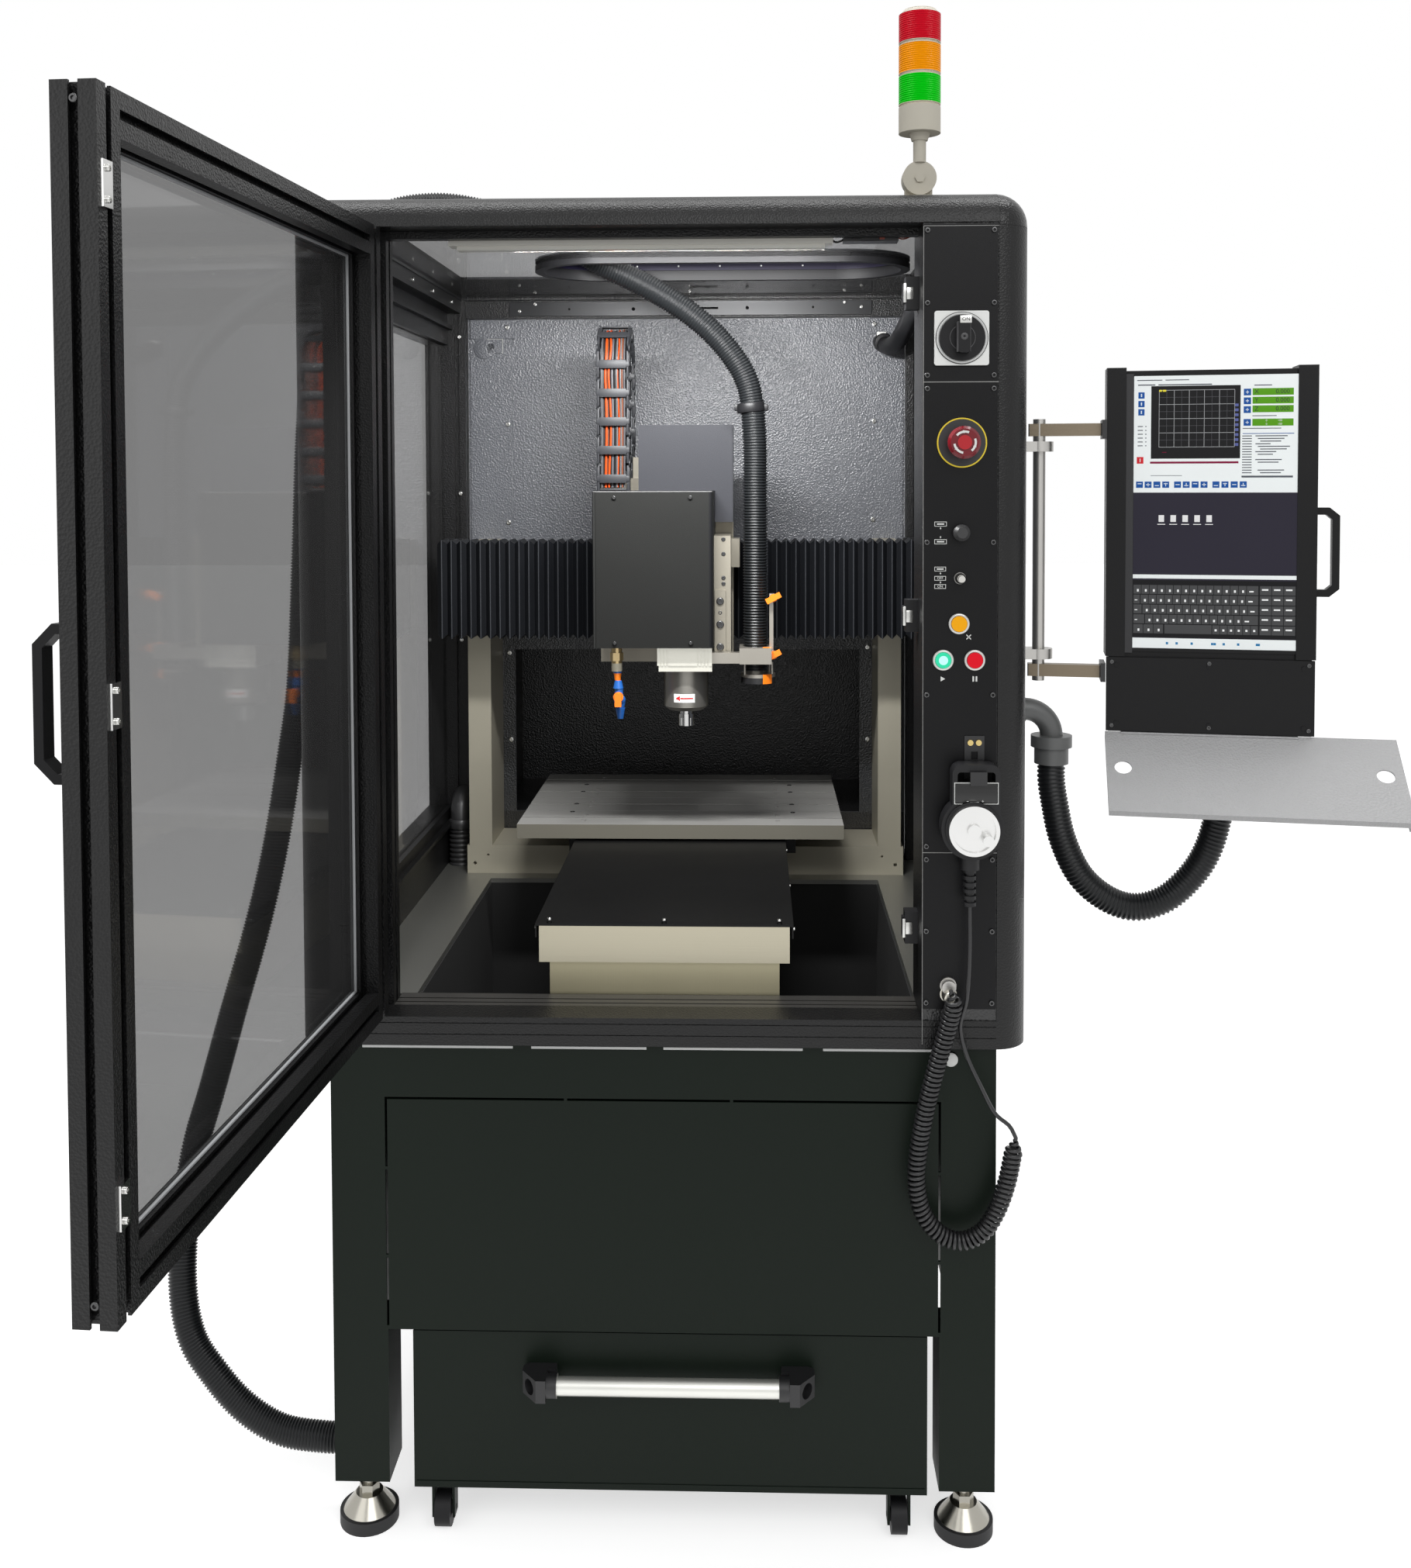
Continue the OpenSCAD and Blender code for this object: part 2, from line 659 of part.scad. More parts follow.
// Four table planks on one plate, with T-slots and edge screws
module table() machine() color("#8e8f8e") {
  plank = table_d / 4;
  x = table_w / 2;
  difference() {
    block([-x, x], [table_y, table_y + table_d], [table_top - table_t, table_top]);
    for (i = [0:3]) translate([0, table_y + plank * i, table_top]) {
      if (i > 0) block([-x - 1, x + 1], [-0.6, 0.6], [-4, 1]);
      block([-x - 1, x + 1], [plank / 2 - 3, plank / 2 + 3], [-12, 1]);
      block([-x - 1, x + 1], [plank / 2 - 6, plank / 2 + 6], [-13, -6]);
      for (s = [-0.3, 0.3], dy = [-18, 18])
        translate([s * table_w, plank / 2 + dy, -3]) cylinder(d = 8, h = 4, $fn = 24);
    }
  }
}

// Rail cars under the cover, arms round its edges and the screw nut
module table_carriers() machine() color("#2c2d2e") {
  mid = table_y + table_d / 2;
  bar_z = [drive_z + drive_d / 2 + 1, cover_z - cover_t - 3];
  arm_z0 = cover_z - 20;
  for (dy = [-arm_dy, arm_dy]) {
    y = [mid + dy - 22, mid + dy + 22];
    block([-rail_x - 24, rail_x + 24], [mid + dy - 12, mid + dy + 12], bar_z);
    for (s = [-1, 1]) {
      difference() {
        block([s * rail_x - 24, s * rail_x + 24], y, [bed_z[1] + 3, bar_z[0] + 0.1]);
        block([s * rail_x - rail_w / 2 - 0.3, s * rail_x + rail_w / 2 + 0.3],
              [y[0] - 1, y[1] + 1], [bed_z[1], bed_z[1] + rail_h + gap]);
      }
      arm_x = s * (cover_w / 2 + 10);
      block([arm_x - s * 18 - 26, arm_x - s * 18 + 26], y, [bed_z[1] + 8, arm_z0]);
      block([arm_x - 8, arm_x + 8], y, [arm_z0 - 0.1, table_top - table_t]);
    }
  }
  difference() {
    block([-24, 24], [mid - arm_dy - 12, mid - arm_dy + 12], [bed_z[1] + 3, bar_z[1]]);
    translate([0, mid - arm_dy - 13, drive_z]) rotate([-90, 0, 0])
      cylinder(d = drive_d + 2 * gap, h = 26);
  }
}

// ---- gantry --------------------------------------------------------------

// Cross plate on the floor with its feet and the two upright columns
module gantry_frame() machine() color("#807c72") {
  x = [bed_w / 2 + 1, gantry_w / 2];
  difference() {
    for (s = [-1, 1]) block([min(s * x[0], s * x[1]), max(s * x[0], s * x[1])],
                            [gantry_y, gantry_back], cross_z);
    for (s = [-1, 1]) {
      boss([s * (x[1] - 13), gantry_y + 12, cross_z[0] + 24], 6, 13, 24);
      boss([s * (x[1] - 35), gantry_y + 8, cross_z[0] + 38], 4, 9, 24);
    }
  }
  for (s = [-1, 1]) {
    gantry_column(s * (gantry_w / 2 - 4 - gantry_t / 2));
    block([s * (x[0] + 51) - 48, s * (x[0] + 51) + 48], [gantry_y + 20, gantry_back - 10],
          [base_top, cross_z[0] + 0.1]);
  }
}

// One column, its head drawn forward to carry the beam
module gantry_column(x) {
  head_z = [bellows_z[0] + 10, bellows_z[1] - 8];
  translate([x - gantry_t / 2, 0, 0]) rotate([90, 0, 90]) linear_extrude(gantry_t)
    polygon([[gantry_y, cross_z[1] - 0.1], [gantry_back, cross_z[1] - 0.1],
             [gantry_back, head_z[1]], [beam_y + beam_t, head_z[1]],
             [beam_y + beam_t, head_z[0] + 30], [gantry_y, head_z[0]]]);
}

// Beam between the columns with its two ways and the bellows' end brackets
module gantry_beam() machine() color("#3a3b3c") {
  x = gantry_w / 2 - 4;
  block([-x, x], [beam_y, beam_y + beam_t], [bellows_z[0] + 14, bellows_z[1] - 14]);
  for (z = way_z) block([-x, x], [beam_y - way_d, beam_y + 0.1], [z - 8, z + 8]);
  for (s = [-1, 1]) block([s * (bellows_x - 15) - 15, s * (bellows_x - 15) + 15],
                          [beam_y - 2, beam_y + 6], bellows_z);
}

// A run of pleated cover from x0 to x1, closed at its outer end
module bellows(x0, x1) {
  pitch = (x1 - x0) / pleats;
  back = beam_y - 2;
  function fold(i) = i % 2 == 0 ? 0 : pleat;
  steps = [for (i = [0:2 * pleats]) [x0 + i * pitch / 2, fold(i)]];
  outer = x0 < 0 ? [x0 + 4, x1 + 1] : [x0 - 1, x1 - 4];
  difference() {
    intersection() {
      translate([0, 0, bellows_z[0]]) linear_extrude(bellows_z[1] - bellows_z[0])
        polygon(concat([for (p = steps) [p[0], bellows_y + p[1]]], [[x1, back], [x0, back]]));
      translate([0, back, 0]) rotate([90, 0, 0]) linear_extrude(back - bellows_y)
        polygon(concat([for (p = steps) [p[0], bellows_z[1] - p[1]]],
                       [for (i = [len(steps) - 1:-1:0]) [steps[i][0], bellows_z[0] + steps[i][1]]]));
    }
    block(outer, [bellows_y + pleat + 2, back + 1],
          [bellows_z[0] + pleat + 2, bellows_z[1] - pleat - 2]);
  }
}

module bellows_left() machine() color("#141619") bellows(-bellows_x, slide_x[0]);

module bellows_right() machine() color("#141619") bellows(slide_x[1], bellows_x);

// ---- spindle carriage ----------------------------------------------------

// Cross slide: back plate, its cars on the ways, and the upright guide plate
module x_carriage() machine() color("#8f8d85") {
  block(slide_x, [slide_y, slide_y + slide_t], [cover_box_z[0] - 38, cover_box_z[1] + 19]);
  for (x = [slide_x[0] + 16, slide_x[1] - 56], z = way_z) difference() {
    block([x, x + 40], [slide_y + slide_t - 0.1, beam_y - 1], [z - 17, z + 17]);
    block([x - 1, x + 41], [beam_y - way_d - gap, beam_y], [z - 8 - gap, z + 8 + gap]);
  }
  guide_plate();
  block([chain_x - 26, chain_x + 26], [slide_y + slide_t - 0.1, slide_y + 44],
        [cover_box_z[1] - 11, cover_box_z[1] - 5]);
}

// Guide plate with its narrow lower strip, both with socket screws
module guide_plate() {
  y = cover_box_y + 40;
  z0 = cover_box_z[0] - 20;
  difference() {
    union() {
      block([guide_x, guide_x + 25], [y, slide_y + 0.1], [z0, z0 + 185]);
      block([guide_x + 1, guide_x + 17], [y - 4, y + 0.1], [z0, z0 + 104]);
      block([guide_x + 25, slide_x[1] + 10], [slide_y - 40, slide_y + 4], [z0 + 134, z0 + 178]);
    }
    for (z = [180, 158, 122, 113]) boss([guide_x + 14, y + 3, z0 + z], 6, 4, 20);
    for (z = [87, 52, 18]) boss([guide_x + 9, y - 1, z0 + z], 9, 4, 24);
  }
}

// Folded sheet covers over the spindle slide and over its motor
module carriage_covers() machine() color("#2b2d2f") {
  x = [carriage_x - cover_box_w / 2, carriage_x + cover_box_w / 2];
  r = 6;
  difference() {
    union() {
      block([x[0] + r, x[1] - r], [cover_box_y, slide_y], cover_box_z);
      block(x, [cover_box_y + r, slide_y], cover_box_z);
      for (px = [x[0] + r, x[1] - r]) translate([px, cover_box_y + r, cover_box_z[0]])
        cylinder(r = r, h = cover_box_z[1] - cover_box_z[0]);
    }
    block([x[0] + wall_t, x[1] - wall_t], [cover_box_y + wall_t, slide_y + 1],
          [cover_box_z[0] - 1, cover_box_z[1] - wall_t]);
  }
  for (dx = [-57, 56], z = [cover_box_z[0] + 8, cover_box_z[1] - 9])
    boss([carriage_x + dx, cover_box_y + 1, z], 7, 3, 24);
  top = cover_box_z[1] + 101;
  motor_cover([x[1] - 118, slide_x[1]], [slide_y - 45, slide_y], [cover_box_z[1], top]);
  motor_cover([x[1] + gap, slide_x[1]], [slide_y - 45, slide_y],
              [cover_box_z[1] - 49, cover_box_z[1] + 0.1]);
  block([x[1] - 118, slide_x[1]], [slide_y - 0.1, slide_y + 45], [cover_box_z[1] + 19, top]);
}

// Sheet box open to the rear and below
module motor_cover(x, y, z) difference() {
  block(x, y, z);
  block([x[0] + wall_t, x[1] - wall_t], [y[0] + wall_t, y[1] + 1], [z[0] - 1, z[1] - wall_t]);
}

// Energy chain: a standing loop of open links above the cross slide
module cable_chain() machine() color("#1a1a1c") {
  r = 52;
  link = 26;
  links = 7;
  arc_n = 6;
  y = slide_y + 2;
  top = cover_box_z[1] + 246 - r;
  run = links * link;
  difference() {
    for (s = [-1, 1]) translate([chain_x + s * 23 - 3, y, top]) rotate([90, 0, 90])
      linear_extrude(6) chain_side(r, run);
    for (i = [1:links - 1], s = [-1, 1])
      block([chain_x - 30, chain_x + 30], [y + s * (r + 8) - 3, y + s * (r + 8) + 3],
            [top - i * link - 1, top - i * link + 1]);
    for (i = [0:arc_n]) translate([chain_x, y, top]) rotate([-180 * i / arc_n, 0, 0])
      block([-30, 30], [-r - 11, -r - 5], [-1, 1]);
  }
  for (i = [0:links - 1], s = [-1, 1]) translate([chain_x, y + s * r, top - (i + 0.5) * link])
    chain_bars();
  for (i = [0:arc_n - 1]) translate([chain_x, y, top]) rotate([-180 * (i + 0.5) / arc_n, 0, 0])
    translate([0, -r, 0]) chain_bars();
  block([chain_x - 26, chain_x + 26], [y + r - 10, y + r - 6],
        [cover_box_z[1] - 11, top - run + 20]);
  block([chain_x - 23, chain_x + 23], [y - r - 8, y - r + 40],
        [cover_box_z[1], cover_box_z[1] + 4]);
  for (s = [-1, 1]) block([chain_x + s * 23 - 3, chain_x + s * 23 + 3], [y - r - 8, y - r + 8],
                          [cover_box_z[1], top - run + 1]);
}

// Side outline of the chain: an arch on two straight runs
module chain_side(r, run) {
  difference() {
    circle(r + 10, $fn = 64);
    circle(r - 10, $fn = 64);
    translate([-r - 11, -r - 11]) square([2 * r + 22, r + 11]);
  }
  for (s = [-1, 1]) translate([s * r - 10, -run]) square([20, run]);
}

// The two cross bars of one chain link
module chain_bars() {
  for (y = [-9, 7]) block([-20.5, 20.5], [y, y + 2], [-6, 6]);
}

// Spindle motor in its ribbed clamp, with the slide block above
module spindle_head() machine() color("#8b8983") {
  x = [spindle_x - 41, spindle_x + 41];
  clamp_z = [cover_box_z[0] - 37, cover_box_z[0] - 0.5];
  difference() {
    union() {
      block(x, [spindle_y - 50, spindle_y + 50], [clamp_z[0] + 9, clamp_z[1]]);
      block([x[0] + 2, x[1]], [spindle_y - 48, spindle_y + 48], [clamp_z[0], clamp_z[0] + 9.1]);
    }
    for (dx = [-36, -31, -26, 20, 25, 30, 35])
      block([spindle_x + dx - 1, spindle_x + dx + 1], [spindle_y - 51, spindle_y - 48.5],
            [clamp_z[0], clamp_z[1] + 1]);
  }
  translate([spindle_x, spindle_y, 0]) difference() {
    union() {
      translate([0, 0, motor_z + 6]) cylinder(d = spindle_d, h = clamp_z[0] - motor_z - 6, $fn = 64);
      translate([0, 0, motor_z]) cylinder(d1 = spindle_d - 14, d2 = spindle_d, h = 6, $fn = 64);
    }
    translate([0, 0, motor_z - 1]) cylinder(d = shaft_bore + fit, h = 31);
  }
  block([spindle_x - 35, spindle_x + 30], [spindle_y + 30, slide_y - gap],
        [clamp_z[1] - 0.1, clamp_z[1] + 80]);
}

// Spindle shaft with its collet nut
module spindle_rotor() machine() color("#c4c6c8") translate([spindle_x, spindle_y, 0])
  difference() {
    union() {
      translate([0, 0, nut_z]) cylinder(d = 24, h = 18);
      translate([0, 0, nut_z + 18]) cylinder(d = shaft_bore, h = motor_z + 28 - nut_z - 18);
    }
    translate([0, 0, nut_z - 1]) cylinder(d = 6, h = 16, $fn = 32);
    for (a = [0:60:300]) rotate(a) translate([10.5, -2, nut_z - 1]) cube([4, 4, 13]);
  }

// Brass valve, orange ring and jointed blue nozzle under its bracket
module coolant_nozzle() machine() color("#2d6aa8")
  translate([nozzle_x, nozzle_y, cover_box_z[0]]) {
    block([-12, 12], [cover_box_y + wall_t - nozzle_y, 10], [2, 6]);
    translate([0, 0, -38]) cylinder(d = 16, h = 41);
    translate([0, 0, -22]) cylinder(d = 20, h = 12, $fn = 6);
    translate([1, 0, -54]) cylinder(d1 = 8, d2 = 14, h = 17);
    translate([2, 0, -64]) cylinder(d1 = 16, d2 = 10, h = 12);
    translate([3, 0, -80]) cylinder(d = 13, h = 17);
    boss([3, -5, -76], 15, 8);
    block([-2, 8], [-18, -12], [-90, -70]);
    translate([4, 0, -82]) sphere(d = 18);
    translate([4, 0, -98]) rotate([0, 12, 0]) cylinder(d = 12, h = 14);
    translate([5, 0, -110]) cylinder(d1 = 9, d2 = 15, h = 16);
  }

// Clamp block of the dust hose, its arm, ring and two locking levers
module dust_clamp() machine() color("#8c8a84") translate([dust_x, dust_y, cover_box_z[0]]) {
  arm_x = spindle_x + 41 - dust_x;
  block([arm_x, -20], [-32, -16], [-25, -9]);
  difference() {
    block([-24, 24], [-34, 24], [-26, -2]);
    translate([0, 0, -28]) cylinder(d = dust_d + 2 * gap, h = 30);
    block([-25, 0], [-1, 1], [-27, -1]);
  }
  difference() {
    translate([4, 0, -57]) cylinder(d = 52, h = 14);
    translate([0, 0, -58]) cylinder(d = dust_d + 2 * gap, h = 20);
  }
  for (p = [[-16, -17.5], [25, -12], [21, 15]])
    translate([p[0], p[1], -44]) cylinder(d = 4, h = 19, $fn = 24);
  for (z = [-14, 72]) {
    boss([27, -6, z], 12, 14, 24);
    translate([27, -20, z]) rotate([0, 62, 0]) cube([8, 8, 24], center = true);
  }
  block([21, 27], [-12, -4], [-20, 78]);
}

// ---- operator column -----------------------------------------------------

// Three screwed face plates of the operator column
module column_panels() machine() color("#202124") {
  seam = 0.5;
  for (i = [0:2]) difference() {
    block([column_x + 0.5, column_right - 1.5], [-panel_t, 1.5],
          [panel_z[i] + (i > 0 ? seam : 0), panel_z[i + 1] - (i < 2 ? seam : 0)]);
    control_holes();
  }
  for (i = [0:2], x = [column_x + 5, column_right - 6.5]) {
    rows = i == 1 ? 3 : 2;
    step = (panel_z[i + 1] - panel_z[i] - 16) / rows;
    for (k = [0:rows]) boss([x, -panel_t + 0.1, panel_z[i] + 8 + k * step], 6, 1.4, 20);
  }
}

// Through holes for the stems of the controls
module control_holes() {
  for (p = [isolator_pos, estop_pos, selector_pos, toggle_pos])
    boss([p[0], 6, p[1]], stem_d + fit, 12);
  for (p = button_pos) boss([p[0], 6, p[1]], button_stem + fit, 12);
}

// Grey isolator plate and yellow emergency-stop ring
module switch_plates() machine() color("#c9cac8") difference() {
  union() {
    translate([isolator_pos[0], -panel_t, isolator_pos[1]]) rotate([90, 0, 0])
      round_block([65, 65, 5], 3);
    boss([estop_pos[0], -panel_t, estop_pos[1]], 60, 2, 64);
  }
  for (p = [isolator_pos, estop_pos]) boss([p[0], 6, p[1]], stem_d + fit, 20);
}

// Bright bezels of the push-buttons, switch collars and the cord socket
module bezels() machine() color("#b4b6b6") {
  for (p = button_pos) difference() {
    boss([p[0], -panel_t, p[1]], button_d, 3.5, 48);
    boss([p[0], 6, p[1]], cap_d + fit, 20, 48);
  }
  for (p = [concat(selector_pos, 16.5), concat(toggle_pos, 14)]) difference() {
    boss([p[0], -panel_t, p[1]], p[2], 2.5, 48);
    boss([p[0], 6, p[1]], stem_d + fit, 20);
  }
  boss([plug_pos[0], -panel_t, plug_pos[1]], 20, 4, 48);
  boss([plug_pos[0], -panel_t - 4, plug_pos[1]], 17, 9, 48);
}

// Isolator: dial and grip bar on its stem
module isolator_knob() machine() color("#16171a")
  translate([isolator_pos[0], -panel_t - 5.3, isolator_pos[1]]) {
    boss([0, 0, 0], 54, 6, 64);
    rotate([90, 0, 0]) round_block([14, 38, 22], 4);
    boss([0, 9, 0], stem_d, 9.1);
  }

// Emergency-stop mushroom on its stem
module estop_button() machine() color("#c8272b") translate([estop_pos[0], 0, estop_pos[1]]) {
  boss([0, 4, 0], stem_d, 14);
  boss([0, -9.5, 0], 26, 5, 48);
  translate([0, -14, 0]) rotate([90, 0, 0]) {
    cylinder(d1 = 34, d2 = 39, h = 5, $fn = 64);
    translate([0, 0, 5]) cylinder(d = 39, h = 5, $fn = 64);
    translate([0, 0, 10]) cylinder(d1 = 39, d2 = 33, h = 3, $fn = 64);
    translate([0, 0, 13]) cylinder(d = 17, h = 1.5, $fn = 48);
  }
}

// One push-button cap on its stem, pressed through its bezel
module push_button(p) {
  boss([p[0], -panel_t - 3.2, p[1]], cap_d, 3, 48);
  boss([p[0], 4, p[1]], button_stem, 8.4, 32);
}

module button_amber() machine() color("#e8a81e") push_button(button_pos[0]);

module button_green() machine() color("#3fc9b0") push_button(button_pos[1]);

module button_red() machine() color("#c0202a") push_button(button_pos[2]);

// Rubber-booted selector on its stem
module selector_knob() machine() color("#1b1c1e") translate([selector_pos[0], 0, selector_pos[1]]) {
  boss([0, 4, 0], stem_d, 9);
  boss([0, -4, 0], 20, 8, 48);
  translate([0, -12, 0]) rotate([90, 0, 0]) cylinder(d1 = 20, d2 = 13, h = 5, $fn = 48);
}

// Toggle: a barrel in its collar with the lever and its boot
module toggle_lever() machine() color("#1b1c1e")
  translate([toggle_pos[0], -panel_t - 1.5, toggle_pos[1]]) {
    translate([-3, 0, 0]) rotate([0, 90, 0]) cylinder(d = 8, h = 6);
    rotate([90, 0, 0]) {
      cylinder(d = 5, h = 6);
      translate([0, 0, 4.6]) cylinder(d1 = 13, d2 = 9, h = 7, $fn = 48);
      translate([0, 0, 11]) cylinder(d = 8, h = 8);
    }
  }

// Sheet hook that carries the hand pendant
module pendant_hook() machine() color("#151618") {
  y = [-panel_t - 2, -panel_t];
  hook_y = pendant_y - 29;
  mid = pendant_x + 6;
  z = pendant_z + 53;
  difference() {
    block([mid - 12, mid + 12], y, [z, z + 53]);
    block([mid - 4, mid + 4], [-4, 0], [z + 24, z + 34]);
  }
  block([mid - 10, mid + 10], [hook_y, -panel_t - 1.9], [z, z + 2]);
  block([mid - 10, mid + 10], [hook_y - 2, hook_y + 0.1], [z, z + 16]);
  for (x = [mid - 5, mid + 5]) boss([x, y[0] + 0.1, z + 45], 7, 2.5, 24);
}

// Hand pendant: bail, body, wheel boss and cord strain relief
module pendant() machine() color("#17181b") translate([pendant_x, pendant_y, 0]) {
  difference() {
    union() {
      boss([0, 0, pendant_z], 75, 26, 64);
      translate([4, 0, pendant_z + 37]) rotate([90, 0, 0]) round_block([57, 80, 26], 12);
      boss([0, -25.9, pendant_z], 66, 3, 64);
    }
    translate([4, 1, pendant_z + 58]) rotate([90, 0, 0]) round_block([45, 20, 60], 4);
    boss([0, -20, pendant_z], 8 + fit, 10);
  }
  translate([-2, -13, pendant_z - 51]) {
    cylinder(d = 24, h = 17);
    for (i = [0:5]) translate([0, 0, i * 8 - 44]) cylinder(d = 16, h = 4.4, $fn = 24);
    translate([0, 0, -45]) cylinder(d = 11, h = 50, $fn = 24);
  }
}

// Hand wheel of the pendant with its finger knob and shaft
module handwheel() machine() color("#b9bbbc")
  translate([pendant_x, pendant_y - 29.2, pendant_z]) rotate([90, 0, 0]) {
    difference() {
      cylinder(d = wheel_d, h = 10, $fn = 64);
      translate([0, 0, 6]) cylinder(d = wheel_d - 9, h = 5, $fn = 64);
    }
    translate([0, 0, -8]) cylinder(d = 8, h = 9);
    cylinder(d = 16, h = 11);
    translate([15, -9, 5]) cylinder(d = 13, h = 16);
  }

// ---- console -------------------------------------------------------------

// Children given for the unturned console, with its pivot shaft as origin
module console_place() {
  machine() translate([shaft_x, shaft_y, 0]) rotate(-console_turn) children();
}

// Pivot shaft in its two side brackets, each clamped by a slit
module console_mount() machine() color("#b5b6b4") {
  translate([shaft_x, shaft_y, arm_z[0] - 14])
    cylinder(d = shaft_d, h = arm_z[1] - arm_z[0] + 28);
  for (z = [arm_z[0] + 15, arm_z[1] - 28]) difference() {
    union() {
      block([half, shaft_x + 3], [shaft_y - 17, shaft_y + 17], [z, z + 13]);
      translate([shaft_x, shaft_y, z]) cylinder(r = 18, h = 13);
    }
    block([shaft_x + shaft_d / 2, shaft_x + 20], [shaft_y - 1, shaft_y + 1], [z - 1, z + 14]);
  }
}

// Two square swing arms with their end plates
module console_arms() console_place() color("#8d7f6b")
  for (z = arm_z) difference() {
    union() {
      block([-14, console_x], [-arm_t / 2, arm_t / 2], [z - arm_t / 2, z + arm_t / 2]);
      block([console_x - 6, console_x], [-20, 24], [z - 12, z + 12]);
    }
    translate([0, 0, z - arm_t]) cylinder(d = shaft_d + fit, h = 2 * arm_t);
  }

// Console housing: side stiles, screen field and lower plate
module console_body() console_place() color("#17191b") {
  x = [console_x, console_x + console_w];
  y = [console_y, console_y + console_t];
  z = [console_z, console_z + console_h];
  face_z = z[0] + 104;
  stile = 24;
  difference() {
    block([x[0] + 4, x[1] - 4], [y[0] + 3, y[1]], z);
    block([x[0] + 8, x[1] - 8], [y[0] + 7, y[1] - 4], [z[0] + 4, z[1] - 4]);
  }
  for (s = [x[0], x[1] - stile]) difference() {
    block([s, s + stile], [y[0] - 1, y[1]], [z[0] + 97, z[1] + 4]);
    block([s + 4.01, s + stile - 4.01], [y[0] + 3, y[1] + 1], [z[0] + 96, z[1]]);
  }
  block([x[0] + stile, x[1] - stile], [y[0], y[0] + 3.1], [face_z, z[1] - 7]);
  block([x[0] + 1, x[1] - 1], [y[0] - 1, y[0] + 3.1], [z[0] + 1, z[0] + 96]);
  for (px = [x[0] + 14, (x[0] + x[1]) / 2, x[1] - 14], pz = [z[0] + 11, z[0] + 86])
    boss([px, y[0] - 0.9, pz], 6, 1.2, 20);
  translate([x[1] - 0.1, y[1] - 26, z[0] + 176]) console_pull();
}

// Bow handle on the console's right side
module console_pull() {
  rotate([90, 0, 0]) linear_extrude(12) difference() {
    polygon([[0, 0], [16, 0], [28, 10], [28, 102], [16, 112], [0, 112]]);
    polygon([[-1, 9], [12, 9], [19, 15], [19, 97], [12, 103], [-1, 103]]);
  }
}

// Sloping keyboard tray with folded edges, grommet holes and its ledge
module console_tray() console_place() color("#3f4143") translate([console_x, console_y, console_z]) {
  block([20, console_w - 20], [-4, 30], [-2, 0]);
  rotate([tray_tilt, 0, 0]) {
    difference() {
      block([0, tray_w], [-tray_l, 0], [-2, 0]);
      for (x = [20, tray_w - 22]) translate([x, -60, -3]) cylinder(d = 21, h = 4);
    }
    block([0, tray_w], [-tray_l, -tray_l + 2], [-9, -1.9]);
    for (x = [0, tray_w - 2]) block([x, x + 2], [-tray_l, -2], [-9, -1.9]);
    block([tray_w - 2, tray_w], [-tray_l + 10, -20], [-28, -8]);
  }
}

// Elbow and coupling nut of the console's cable conduit
module conduit_elbow() machine() color("#3a3d40") translate([half, shaft_y, elbow_z]) {
  rotate([0, 90, 0]) cylinder(d = 40, h = 5);
  rotate([0, 90, 0]) cylinder(d = 33, h = 20);
  translate([20, 0, -elbow_r]) rotate([90, 0, 0]) rotate_extrude(angle = 90)
    translate([elbow_r, 0]) circle(d = 29);
  translate([20 + elbow_r, 0, -elbow_r - 36]) {
    cylinder(d = 44, h = 22);
    translate([0, 0, 21.9]) cylinder(d = 53, h = 15, $fn = 48);
  }
}

// ---- signal tower --------------------------------------------------------

// Folding foot of the signal tower, on the roof
module tower_foot() machine() color("#8f8c84") {
  translate([tower_x, tower_y, enc_top]) cylinder(d = 44, h = 5);
  block([tower_x - 17, tower_x + 17], [tower_y + 8, tower_y + 20], [enc_top + 1, tower_z]);
  boss([tower_x, tower_y + 20, tower_z], fold_d, 12, 48);
  boss([tower_x, tower_y + 9, tower_z], 10, 12, 32);
}

// Folding head, stem and base of the signal tower
module tower_body() machine() color("#b3aea2") {
  difference() {
    boss([tower_x, tower_y + 7.7, tower_z], fold_d, 12, 48);
    boss([tower_x, tower_y + 9, tower_z], 10 + fit, 13, 32);
  }
  boss([tower_x, tower_y - 4.2, tower_z], 13, 2.6, 6);
  translate([tower_x, tower_y, 0]) {
    translate([0, -0.5, tower_z + 19]) cylinder(d = 16, h = 30);
    translate([0, 0, tower_z + 46]) cylinder(d1 = 20, d2 = 26, h = 9.1);
    translate([0, 0, tower_z + 55]) cylinder(d = lamp_d, h = 32, $fn = 64);
  }
}

// Three lens segments and the clear cap
module tower_lenses() machine() color("#c23a2c") translate([tower_x, tower_y, tower_z + 87]) {
  for (i = [0:2]) translate([0, 0, i * 38]) {
    cylinder(d = lamp_d - 3, h = 3, $fn = 64);
    translate([0, 0, 3]) cylinder(d = lamp_d, h = 35, $fn = 64);
  }
  translate([0, 0, 114]) cylinder(d1 = lamp_d - 2, d2 = lamp_d - 12, h = 6, $fn = 64);
}

// ---- rolling bin ---------------------------------------------------------

